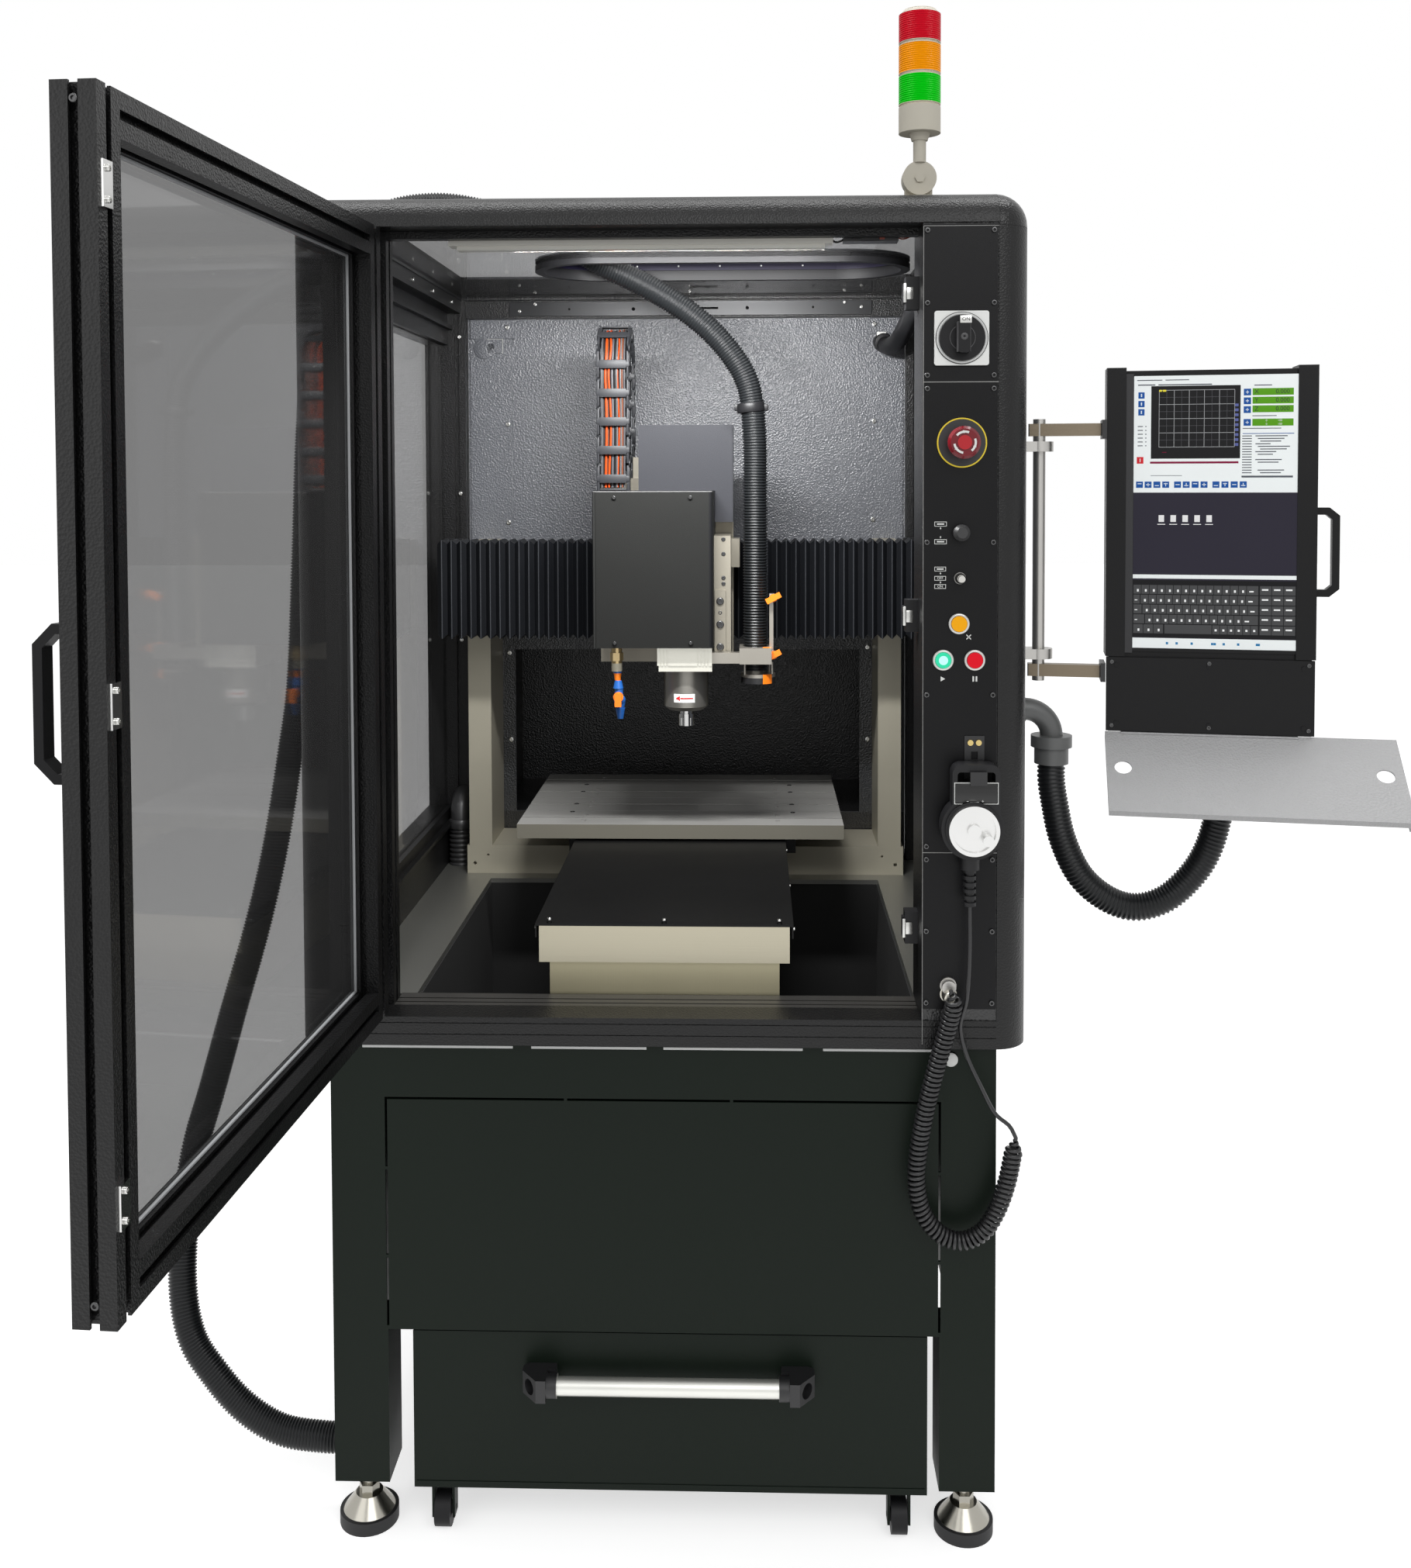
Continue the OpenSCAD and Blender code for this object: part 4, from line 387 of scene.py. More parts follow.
def finishes() -> dict[str, Finish]:
    """Gives the finish of every carried-over solid, by its name."""
    corner = (-60, 80)
    frame = Finish("frame_leather", (0.0034, 0.0034, 0.0036), 0.36, 0.0, Grain.LEATHER, sheen=0.33,
                   zones=(Zone((0.006, 0.006, 0.0062), x=(411.2, 480), y=corner, z=(1633.4, 1720), rough=0.2),
                          Zone(JOINT, x=(411, 480), y=corner, z=(1632.8, 1633.4), rough=0.8),
                          Zone(JOINT, x=(410.8, 411.4), y=corner, z=(1633, 1720), rough=0.8)))
    base = Finish("base_powder", (0.0045, 0.0085, 0.0052), 0.42, 0.0, Grain.POWDER, sheen=0.14)
    bright = Finish("milled_aluminium", (0.46, 0.45, 0.43), 0.36, 1.0, Grain.BRUSHED_X)
    anodised = Finish("anodised_grey", (0.40, 0.375, 0.30), 0.45, 0.55, Grain.BLASTED)
    rubber = Finish("black_rubber", (0.008, 0.008, 0.009), 0.5, 0.0, Grain.MOULDED, sheen=0.25)
    plastic = Finish("black_plastic", (0.009, 0.009, 0.010), 0.4, 0.0, Grain.MOULDED, sheen=0.3)
    satin = Finish("satin_black", (0.0060, 0.0060, 0.0066), 0.33, 0.0, Grain.POWDER, sheen=0.16)
    textured = Finish("textured_grey", (0.090, 0.094, 0.105), 0.30, 0.0, Grain.HAMMERED, sheen=0.6,
                      zones=(Zone(BLACK, y=(840.2, 2000)), Zone(BLACK, x=(319, 411), y=(-5, 100)),
                             Zone((0.020, 0.021, 0.023), y=(700, 797.9), z=(600, 1054)),
                             # The rear box behind the back wall is painted darker than its own black: painted
                             # shade inside the rear opening.
                             Zone((0.005, 0.005, 0.0055), y=(799, 2000)),
                             Zone(BLACK, y=(700, 2000), z=(600, 744))))
    pane = Finish("tinted_pane", (0.018, 0.018, 0.018), 0.05, 0.0, alpha=0.56)
    door_pane = Finish("door_pane", (0.018, 0.018, 0.018), 0.04, 0.0, alpha=0.56)
    chrome = Finish("plated_steel", (0.62, 0.62, 0.61), 0.16, 1.0)
    bellows = Finish("bellows_core", (0.0045, 0.0050, 0.0062), 0.5, 0.0, Grain.MOULDED, sheen=0.12)
    beige = Finish("tower_beige", (0.70, 0.69, 0.55), 0.42, 0.0, Grain.MOULDED)
    return {
        "base_cabinet": base,
        "bin_shell": base,
        "levelling_feet": Finish("foot", (0.40, 0.385, 0.34), 0.24, 1.0,
                                 zones=(Zone(INK, z=(-1, 16.5), rough=0.6, metal=0.0),)),
        "enclosure_frame": frame,
        "door_frame": frame,
        "wall_panels": textured,
        "windows": pane,
        "door_pane": door_pane,
        "floor_sheet": Finish("floor_grey", (0.145, 0.141, 0.134), 0.5, 0.4, Grain.BLASTED),
        "chip_chute": Finish("chute", (0.002, 0.002, 0.002), 0.8),
        "sill_strips": Finish("sill", (0.055, 0.053, 0.050), 0.42, 0.6, Grain.BRUSHED_X,
                              # The joint strips are bare aluminium, painted bright so that they also stand in
                              # for the highlight along the base's folded edge.
                              zones=(Zone((0.62, 0.63, 0.62), z=(600, 640), rough=0.4),
                                     # A thin light line along the sill's front edge: a painted highlight.
                                     Zone((0.42, 0.41, 0.39), y=(40, 44), z=(660, 670)))),
        "bed_beam": Finish("beam", (0.50, 0.46, 0.31), 0.42, 0.6, Grain.BRUSHED_Z),
        "bed_cover": Finish("bed_cover_black", (0.0045, 0.0045, 0.0045), 0.42, 0.0, Grain.POWDER, sheen=0.2),
        "bed_rails": Finish("end_plate", (0.50, 0.465, 0.36), 0.42, 0.8, Grain.BRUSHED_X),
        "gantry_frame": anodised,
        "gantry_beam": Finish("beam_black", INK, 0.4, 0.5, Grain.BLASTED),
        "bellows_left": bellows,
        "bellows_right": bellows,
        "column_panels": satin,
        "switch_plates": Finish("switch_plate", (0.80, 0.81, 0.79), 0.45, 0.0, Grain.MOULDED,
                                zones=(Zone(INK, z=(1300, 1440)),
                                       Zone((0.72, 0.56, 0.02), ring=(*STOP_AT, 28.3, 32)))),
        "bezels": bright,
        "pendant_hook": Finish("hook", INK, 0.35, 0.0, Grain.POWDER,
                               zones=(Zone((0.62, 0.48, 0.20), z=(1006.5, 1015.5), y=(-9, -3.2),
                                            rough=0.25, metal=1.0),)),
        "pendant": plastic,
        "door_latches": plastic,
        "work_lamp": Finish("lamp_bar", (0.50, 0.49, 0.45), 0.3, glow=0.10,
                            zones=(Zone(INK, x=(220, 400)),)),
        "roof_slot_trim": rubber,
        "console_mount": bright,
        "conduit_elbow": Finish("elbow_grey", (0.115, 0.118, 0.117), 0.4, 0.0, Grain.MOULDED),
        "tower_foot": beige,
        "tower_body": beige,
        "tower_lenses": Finish("tower_glass", (0.0, 0.62, 0.006), 0.3, 0.0, Grain.RIBBED, sheen=0.04,
                               zones=(Zone((1.0, 0.33, 0.001), z=(1830, 1868)),
                                      Zone((0.64, 0.004, 0.018), z=(1868, 1907)),
                                      Zone((0.66, 0.62, 0.54), z=(1906, 1920)),
                                      *(Zone((0.70, 0.64, 0.52), z=(z - 0.5, z + 3.4))
                                        for z in (1792, 1830, 1868)))),
        "door_handle": satin,
        "catch_plates": chrome,
        "x_carriage": Finish("slide_plate", (0.27, 0.25, 0.205), 0.42, 0.6, Grain.BLASTED),
        "carriage_covers": Finish("covers", (0.0115, 0.0118, 0.0112), 0.42, 0.0, Grain.POWDER, sheen=0.16,
                                  zones=(Zone((0.034, 0.035, 0.040), y=(480, 700), z=(1262, 1420),
                                              rough=0.36),
                                         Zone((0.036, 0.037, 0.036), x=(-124, -119.5), y=(399, 402)),
                                         Zone((0.0070, 0.0072, 0.0080), x=(50.5, 58), y=(399, 402)),
                                         Zone((0.16, 0.16, 0.16), y=(399, 402), z=(1310, 1312)))),
        "cable_chain": Finish("chain", (0.016, 0.016, 0.017), 0.38, 0.0, Grain.MOULDED),
        "coolant_nozzle": Finish("nozzle", (0.015, 0.10, 0.36), 0.32,
                                 zones=(Zone((0.55, 0.42, 0.22), z=(1040, 1090), rough=0.3, metal=0.9),
                                        Zone((0.62, 0.58, 0.45), z=(1040, 1052), rough=0.4, metal=0.0),
                                        Zone(SAFETY_ORANGE, z=(1026, 1037)),
                                        Zone(SAFETY_ORANGE, y=(410, 424), z=(985, 1011)))),
        "dust_clamp": Finish("hose_clamp", (0.36, 0.34, 0.30), 0.4, 0.85, Grain.BLASTED,
                             zones=(Zone(INK, z=(1015, 1030), rough=0.4, metal=0.0),
                                    Zone(SAFETY_ORANGE, y=(420, 434), x=(130, 200), rough=0.35, metal=0.0))),
        "spindle_head": Finish("spindle_motor", (0.27, 0.26, 0.235), 0.38, 0.8, Grain.BRUSHED_X,
                               zones=(Zone((0.74, 0.73, 0.65), z=(1041, 1079)),)),
        "spindle_rotor": chrome,
        "table": Finish("table", (0.27, 0.266, 0.255), 0.45, 0.15, Grain.BRUSHED_X, sheen=0.4,
                        zones=(Zone((0.17, 0.161, 0.131), y=(517, 519)),)),
        "table_carriers": Finish("carriers", INK, 0.4, 0.3, Grain.BLASTED),
        "bin_handle": Finish("bin_pull", (0.72, 0.72, 0.68), 0.35, 0.8, Grain.BRUSHED_X,
                             zones=tuple(Zone(INK, x=span, rough=0.45, metal=0.0)
                                         for span in ((-180, -129), (145, 195)))),
        "bin_wheels_front": rubber,
        "bin_wheels_rear": rubber,
        "isolator_knob": Finish("isolator", (0.006, 0.006, 0.007), 0.38, 0.0, Grain.MOULDED, sheen=0.22),
        "estop_button": Finish("stop_red", (0.17, 0.004, 0.010), 0.2, sheen=0.3, coat=0.25,
                               # The brighter red middle of the dome is a painted highlight.
                               zones=(Zone((0.46, 0.008, 0.016), ring=(*STOP_AT, -1, 8.5)),)),
        "button_amber": Finish("key_amber", (0.90, 0.40, 0.003), 0.3, sheen=0.2, glow=0.08),
        "button_green": Finish("key_green", (0.03, 0.62, 0.34), 0.3, sheen=0.2, glow=0.35,
                               zones=(Zone((0.50, 0.95, 0.86), ring=(344, 1111, -1, 5.5)),)),
        "button_red": Finish("key_red", (0.75, 0.004, 0.018), 0.3, sheen=0.2, glow=0.08),
        "selector_knob": Finish("boot_grey", (0.036, 0.036, 0.037), 0.42, 0.0, Grain.MOULDED, sheen=0.4),
        "toggle_lever": Finish("toggle_steel", (0.60, 0.59, 0.56), 0.2, 1.0),
        "handwheel": Finish("hand_wheel", (0.72, 0.72, 0.71), 0.24, 1.0),
        "console_arms": Finish("arm_bronze", (0.20, 0.165, 0.12), 0.35, 0.9, Grain.BRUSHED_X,
                               place=CONSOLE, zones=(Zone(INK, x=(77, 90), rough=0.4, metal=0.0),
                                                     Zone(INK, x=(-16, -12.6), rough=0.4, metal=0.0))),
        "console_body": Finish("console_black", (0.0085, 0.0085, 0.0090), 0.38, 0.0, Grain.POWDER, sheen=0.17,
                               place=CONSOLE),
        "console_tray": Finish("tray", (0.40, 0.40, 0.405), 0.40, 0.0, Grain.HAMMERED, sheen=0.5),
    }


# ---- modelling bench --------------------------------------------------------


SMOOTH_ANGLE = math.radians(35)
SHARP_ANGLE = math.radians(40)
HEAD_HEIGHT = 0.4
HEAD_ROUNDING = 0.12
SOCKET_RIM = 0.12
SOCKET_DEPTH = 0.22
PLATE_BEVEL = 0.03
PLATE_RISE = 0.2
PLATE_SINK = 0.05
WELD = 0.000001
CURVE_STEPS = 24
FIRST_SIDE = Vector((0.31, 0.92, 0.24))


@dataclass
class Bench:
    """Adds primitives in a place's millimetres and shapes them with operators."""

    place: Place = MAIN
    made: list[bpy.types.Object] = field(default_factory=list)

    @staticmethod
    def clear() -> None:
        """Leaves edit mode and deselects everything."""
        if bpy.context.object is not None and bpy.context.object.mode != "OBJECT":
            bpy.ops.object.mode_set(mode="OBJECT")
        bpy.ops.object.select_all(action="DESELECT")

    def _bake(self) -> bpy.types.Object:
        """Applies the active piece's place and moves its mesh into the frame."""
        piece = bpy.context.object
        bpy.ops.object.transform_apply(location=True, rotation=True, scale=True)
        piece.data.transform(self.place.matrix())
        self.made.append(piece)
        return piece

    def block(self, x: Span, y: Span, z: Span, bevel: float = 0.0, steps: int = 2) -> bpy.types.Object:
        """Adds a block between two values on each axis, with bevelled edges."""
        self.clear()
        centre = [sum(s) / 2 * MM for s in (x, y, z)]
        size = [(s[1] - s[0]) * MM for s in (x, y, z)]
        bpy.ops.mesh.primitive_cube_add(size=1, location=centre, scale=size)
        bpy.ops.object.transform_apply(location=False, rotation=False, scale=True)
        if bevel:
            self.bevel(bevel, steps)
        return self._bake()

    def rod(self, start: Point, end: Point, size: float, sides: int = 32,
            bevel: float = 0.0) -> bpy.types.Object:
        """Adds a round bar between two points, with bevelled ends."""
        self.clear()
        a, b = Vector(start) * MM, Vector(end) * MM
        line = b - a
        turn = line.to_track_quat("Z", "Y").to_euler()
        bpy.ops.mesh.primitive_cylinder_add(
            vertices=sides, radius=size / 2 * MM, depth=line.length, location=(a + b) / 2, rotation=turn
        )
        if bevel:
            self.bevel(bevel, 2, only_ends=True)
        return self._bake()

    @staticmethod
    def bevel(width: float, steps: int, only_ends: bool = False) -> None:
        """Bevels the active piece's edges, or those round its end faces."""
        piece = bpy.context.object
        bpy.ops.object.mode_set(mode="EDIT")
        if only_ends:
            bpy.ops.mesh.select_all(action="DESELECT")
            bpy.ops.object.mode_set(mode="OBJECT")
            for face in piece.data.polygons:
                face.select = len(face.vertices) > 4
            bpy.ops.object.mode_set(mode="EDIT")
            bpy.ops.mesh.select_mode(type="FACE")
            bpy.ops.mesh.region_to_loop()
        else:
            bpy.ops.mesh.select_all(action="SELECT")
        bpy.ops.mesh.bevel(offset=width * MM, segments=steps, affect="EDGES")
        bpy.ops.object.mode_set(mode="OBJECT")

    def join(self, name: str) -> bpy.types.Object:
        """Joins the pieces made so far into one, shaded smooth by angle."""
        self.clear()
        for piece in self.made:
            piece.select_set(True)
        bpy.context.view_layer.objects.active = self.made[0]
        if len(self.made) > 1:
            bpy.ops.object.join()
        piece = bpy.context.object
        piece.name = name
        bpy.ops.object.shade_smooth_by_angle(angle=SMOOTH_ANGLE)
        self.made.clear()
        return piece

    def screws(self, name: str, places: Iterable[Point], facing: Point, size: float) -> bpy.types.Object:
        """Makes one socket screw with a domed head and copies it to each place.

        Args:
            name: The piece's name.
            places: The middles of the heads' undersides, in millimetres.
            facing: The direction in which the heads point.
            size: The heads' diameter.

        Returns:
            All the screws as one piece.
        """
        self.clear()
        bpy.ops.mesh.primitive_cylinder_add(vertices=20, radius=size / 2 * MM, depth=size * HEAD_HEIGHT * MM,
                                            location=(0, 0, size * HEAD_HEIGHT / 2 * MM))
        bpy.ops.object.transform_apply(location=True, rotation=True, scale=True)
        head = bpy.context.object
        for face in head.data.polygons:
            face.select = face.normal.z > 0.9
        for edge in head.data.edges:
            edge.select = False
        bpy.ops.object.mode_set(mode="EDIT")
        bpy.ops.mesh.select_mode(type="FACE")
        bpy.ops.mesh.bevel(offset=size * HEAD_ROUNDING * MM, segments=3, affect="EDGES")
        bpy.ops.object.mode_set(mode="OBJECT")
        for face in head.data.polygons:
            face.select = face.normal.z > 0.99 and face.area > (size * 0.2 * MM) ** 2
        bpy.ops.object.mode_set(mode="EDIT")
        bpy.ops.mesh.inset(thickness=size * SOCKET_RIM * MM, depth=0)
        bpy.ops.mesh.inset(thickness=0.0001 * MM, depth=-size * SOCKET_DEPTH * MM)
        bpy.ops.object.mode_set(mode="OBJECT")
        turn = Vector(facing).to_track_quat("Z", "Y").to_matrix().to_4x4()
        source = head.data
        for place in places:
            copy = bpy.data.objects.new(name, source.copy())
            bpy.context.collection.objects.link(copy)
            copy.data.transform(self.place.matrix() @ Matrix.Translation(Vector(place) * MM) @ turn)
            self.made.append(copy)
        bpy.data.objects.remove(head)
        return self.join(name)

    def ring(self, centre: Point, facing: Point, inner: float, outer: float, thick: float,
             round_off: float = 0.0) -> bpy.types.Object:
        """Adds a flat ring whose face points along a direction.

        Args:
            centre: The middle of its rear face, in millimetres.
            facing: The direction of its front face.
            inner: The diameter of its hole.
            outer: Its outer diameter.
            thick: Its thickness.
            round_off: The bevel on its edges.

        Returns:
            The ring.
        """
        self.clear()
        way = Vector(facing).normalized()
        turn = way.to_track_quat("Z", "Y").to_euler()
        bpy.ops.mesh.primitive_cylinder_add(vertices=48, radius=outer / 2 * MM, depth=thick * MM,
                                            rotation=turn,
                                            location=Vector(centre) * MM + way * thick / 2 * MM)
        piece = bpy.context.object
        self._pick(piece, lambda face: len(face.vertices) > 4)
        bpy.ops.object.mode_set(mode="EDIT")
        bpy.ops.mesh.inset(thickness=(outer - inner) / 2 * MM)
        bpy.ops.mesh.bridge_edge_loops()
        bpy.ops.object.mode_set(mode="OBJECT")
        if round_off:
            self._soften(piece, round_off)
        return self._bake()

    def dome(self, centre: Point, facing: Point, size: float, height: float) -> bpy.types.Object:
        """Adds half of a flattened ball that stands on a surface."""
        self.clear()
        bpy.ops.mesh.primitive_uv_sphere_add(segments=32, ring_count=16, radius=size / 2 * MM)
        piece = bpy.context.object
        bpy.ops.object.mode_set(mode="EDIT")
        bpy.ops.mesh.select_all(action="SELECT")
        bpy.ops.mesh.bisect(plane_co=(0, 0, 0), plane_no=(0, 0, 1), clear_inner=True, use_fill=True)
        bpy.ops.mesh.select_all(action="SELECT")
        bpy.ops.transform.resize(value=(1, 1, 2 * height / size))
        bpy.ops.object.mode_set(mode="OBJECT")
        turn = Vector(facing).to_track_quat("Z", "Y").to_matrix().to_4x4()
        piece.data.transform(Matrix.Translation(Vector(centre) * MM) @ turn)
        return self._bake()

    def sleeve(self, start: Point, end: Point, sizes: Sequence[float], bevel: float = 0.0,
               sides: int = 40) -> bpy.types.Object:
        """Adds a turned piece between two points, with a diameter at each equal step."""
        self.clear()
        a, b = Vector(start), Vector(end)
        line = (b - a) / (len(sizes) - 1)
        turn = line.to_track_quat("Z", "Y")
        bpy.ops.mesh.primitive_circle_add(vertices=sides, radius=sizes[0] / 2 * MM, fill_type="NGON",
                                          location=a * MM, rotation=turn.to_euler())
        bpy.ops.object.mode_set(mode="EDIT")
        bpy.ops.mesh.select_all(action="SELECT")
        place = a.copy()
        for size, before in zip(sizes[1:], sizes):
            place += line
            bpy.ops.mesh.extrude_region_move(TRANSFORM_OT_translate={"value": line * MM})
            share = size / before
            bpy.ops.transform.resize(value=(share, share, share), center_override=place * MM)
        bpy.ops.mesh.select_all(action="SELECT")
        bpy.ops.mesh.normals_make_consistent(inside=False)
        bpy.ops.object.mode_set(mode="OBJECT")
        piece = bpy.context.object
        if bevel:
            self._soften(piece, bevel)
        return self._bake()

    @staticmethod
    def _pick(piece: bpy.types.Object, test: Callable[[bpy.types.MeshPolygon], bool]) -> None:
        """Selects only the faces that pass a test."""
        bpy.ops.object.mode_set(mode="EDIT")
        bpy.ops.mesh.select_mode(type="FACE")
        bpy.ops.mesh.select_all(action="DESELECT")
        bpy.ops.object.mode_set(mode="OBJECT")
        for face in piece.data.polygons:
            face.select = test(face)

    @staticmethod
    def _soften(piece: bpy.types.Object, width: float) -> None:
        """Rounds the sharp edges with an applied bevel."""
        bevel = piece.modifiers.new("edges", "BEVEL")
        bevel.width = width * MM
        bevel.segments = 2
        bevel.limit_method = "ANGLE"
        bevel.angle_limit = SHARP_ANGLE
        bpy.ops.object.modifier_apply(modifier="edges")

    def tiles(self, fields: Iterable[Rect], front: float, thick: float = 0.3) -> None:
        """Models one flat plate with a bevelled front, and copies it to each field on a front plane.

        Args:
            fields: Each plate's left, right, lower and upper edge, in millimetres.
            front: The plane that the plates stand on.
            thick: How far they stand out of it.
        """
        self.clear()
        bpy.ops.mesh.primitive_cube_add(size=1)
        plate = bpy.context.object
        self._pick(plate, lambda face: face.normal.y < -0.9)
        bpy.ops.object.mode_set(mode="EDIT")
        bpy.ops.mesh.inset(thickness=PLATE_BEVEL, depth=0.0)
        bpy.ops.transform.translate(value=(0, -PLATE_RISE, 0))
        bpy.ops.object.mode_set(mode="OBJECT")
        for left, right, low, high in fields:
            copy = bpy.data.objects.new("plate", plate.data.copy())
            bpy.context.collection.objects.link(copy)
            middle = Vector(((left + right) / 2, front - thick / 2 + PLATE_SINK, (low + high) / 2)) * MM
            size = Matrix.Diagonal((*(Vector((right - left, thick, high - low)) * MM), 1))
            copy.data.transform(self.place.matrix() @ Matrix.Translation(middle) @ size)
            self.made.append(copy)
        bpy.data.objects.remove(plate)

    def outline(self, fieldspan: Rect, front: float, line: float, thick: float = 0.3) -> bpy.types.Object:
        """Adds a thin rectangular outline on a front plane."""
        self.clear()
        left, right, low, high = fieldspan
        bpy.ops.mesh.primitive_cube_add(size=1, location=Vector(((left + right) / 2, front - thick / 2,
                                                                  (low + high) / 2)) * MM,
                                        scale=Vector((right - left, thick, high - low)) * MM)
        bpy.ops.object.transform_apply(location=False, rotation=False, scale=True)
        piece = bpy.context.object
        self._pick(piece, lambda face: abs(face.normal.y) > 0.9)
        bpy.ops.object.mode_set(mode="EDIT")
        bpy.ops.mesh.inset(thickness=line * MM)
        bpy.ops.mesh.bridge_edge_loops()
        bpy.ops.object.mode_set(mode="OBJECT")
        return self._bake()

    def pointer(self, centre: Point, size: float, angle: float, thick: float = 0.3) -> bpy.types.Object:
        """Adds a flat triangle on a front plane, pointing at an angle from the right."""
        self.clear()
        bpy.ops.mesh.primitive_cylinder_add(vertices=3, radius=size / 1.5 * MM, depth=thick * MM)
        piece = bpy.context.object
        self._pick(piece, lambda face: face.normal.z > 0.9)
        bpy.ops.object.mode_set(mode="EDIT")
        bpy.ops.mesh.inset(thickness=size * 0.04 * MM, depth=0)
        bpy.ops.object.mode_set(mode="OBJECT")
        turn = (Matrix.Rotation(math.radians(-angle), 4, "Y") @ Matrix.Rotation(math.radians(90), 4, "X")
                @ Matrix.Rotation(math.radians(-90), 4, "Z"))
        piece.data.transform(Matrix.Translation(Vector(centre) * MM) @ turn)
        return self._bake()

    @staticmethod
    def _swing(steps: int, angle: float, axis: Point) -> None:
        """Sweeps the active piece's face round an axis through the origin and welds what it makes."""
        bpy.ops.object.mode_set(mode="EDIT")
        bpy.ops.mesh.select_all(action="SELECT")
        bpy.ops.mesh.spin(steps=steps, angle=angle, center=(0, 0, 0), axis=axis)
        bpy.ops.mesh.select_all(action="SELECT")
        bpy.ops.mesh.remove_doubles(threshold=WELD)
        bpy.ops.mesh.normals_make_consistent(inside=False)
        bpy.ops.object.mode_set(mode="OBJECT")

    def arc(self, centre: Point, radius: float, width: float, start: float, end: float,
            thick: float = 0.3) -> bpy.types.Object:
        """Adds a flat arc on a front plane, between two angles from the right."""
        self.clear()
        middle = Vector(centre) * MM
        bpy.ops.mesh.primitive_plane_add(size=1, location=(0, 0, 0))
        piece = bpy.context.object
        piece.data.transform(Matrix.Diagonal((width * MM, thick * MM, 1, 1)))
        piece.data.transform(Matrix.Translation((radius * MM, -thick / 2 * MM, 0)))
        piece.data.transform(Matrix.Rotation(-math.radians(start), 4, "Y"))
        self._swing(12, -math.radians(end - start), (0, 1, 0))
        piece.data.transform(Matrix.Translation(middle))
        return self._bake()

    def band(self, axis: Point, radius: float, height: float, start: float, end: float,
             thick: float = 0.25) -> bpy.types.Object:
        """Adds a thin strip round an upright axis, between two angles from the front."""
        self.clear()
        bpy.ops.mesh.primitive_plane_add(size=1, location=(0, 0, 0), rotation=(0, math.pi / 2, 0))
        piece = bpy.context.object
        bpy.ops.object.transform_apply(location=False, rotation=True, scale=False)
        piece.data.transform(Matrix.Diagonal((1, thick * MM, height * MM, 1)))
        piece.data.transform(Matrix.Translation((0, -(radius + thick / 2) * MM, 0)))
        piece.data.transform(Matrix.Rotation(math.radians(start), 4, "Z"))
        self._swing(14, math.radians(start - end), (0, 0, 1))
        piece.data.transform(Matrix.Translation(Vector(axis) * MM))
        return self._bake()

    def spun(self, piece: bpy.types.Object, axis: Point, angle: float) -> None:
        """Turns a made piece round an upright axis of the place."""
        home = self.place.matrix()
        move = Matrix.Translation(Vector(axis) * MM)
        piece.data.transform(home @ move @ Matrix.Rotation(math.radians(angle), 4, "Z") @ move.inverted()
                             @ home.inverted())

    def wire(self, points: Sequence[Point], size: float, sides: int = 3) -> bpy.types.Object:
        """Adds a round wire or rod that is bent smoothly through points of the machine."""
        self.clear()
        piece = round_line("wire", smooth_route(points, max(2.0, size * 0.6)), size, sides)
        piece.select_set(True)
        bpy.context.view_layer.objects.active = piece
        bpy.ops.object.convert(target="MESH")
        self.made.append(bpy.context.object)
        return bpy.context.object

    def words(self, text: str, centre: Point, height: float) -> bpy.types.Object:
        """Adds plain letters standing on the front plane of the place."""
        self.clear()
        bpy.ops.object.text_add(location=Vector(centre) * MM, rotation=(math.pi / 2, 0, 0))
        piece = bpy.context.object
        piece.data.body = text
        piece.data.size = height * MM
        piece.data.extrude = 0.0001
        piece.data.align_x = "CENTER"
        piece.data.align_y = "CENTER"
        bpy.ops.object.convert(target="MESH")
        return self._bake()


def dress(piece: bpy.types.Object, finish: Finish, body: Body | None = None) -> bpy.types.Object:
    """Gives a piece its finish, and lets it ride on a body.

    Args:
        piece: The piece or carried-over solid.
        finish: Its finish.
        body: The body that it rides on, for a new piece.

    Returns:
        The piece.
    """
    piece.data.materials.clear()
    piece.data.materials.append(finish.material())
    if body is not None:
        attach(piece, body.value)
        LOG.info("%s rides on %s", piece.name, body.value)
    return piece


# ---- hoses and cords --------------------------------------------------------


def smooth_route(points: Sequence[Point], step: float) -> list[Vector]:
    """Draws one smooth curve through points.

    Args:
        points: The route's points, in the machine's millimetres.
        step: The distance between the curve's points.

    Returns:
        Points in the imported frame, in metres.
    """
    raw = [Vector(p) for p in points]
    raw = [raw[0] * 2 - raw[1], *raw, raw[-1] * 2 - raw[-2]]
    fine: list[Vector] = []
    for a, b, c, d in zip(raw, raw[1:], raw[2:], raw[3:]):
        for i in range(CURVE_STEPS):
            t = i / CURVE_STEPS
            fine.append(0.5 * (2 * b + (c - a) * t + (2 * a - 5 * b + 4 * c - d) * t * t
                               + (3 * b - a - 3 * c + d) * t * t * t))
    fine.append(raw[-2])
    lengths = [0.0]
    for a, b in zip(fine, fine[1:]):
        lengths.append(lengths[-1] + (b - a).length)
    count = max(2, round(lengths[-1] / step))
    route: list[Vector] = []
    k = 0
    for i in range(count + 1):
        goal = lengths[-1] * i / count
        while k < len(fine) - 2 and lengths[k + 1] < goal:
            k += 1
        share = (goal - lengths[k]) / max(1e-9, lengths[k + 1] - lengths[k])
        route.append(MAIN.at(fine[k].lerp(fine[k + 1], min(1.0, share))))
    return route


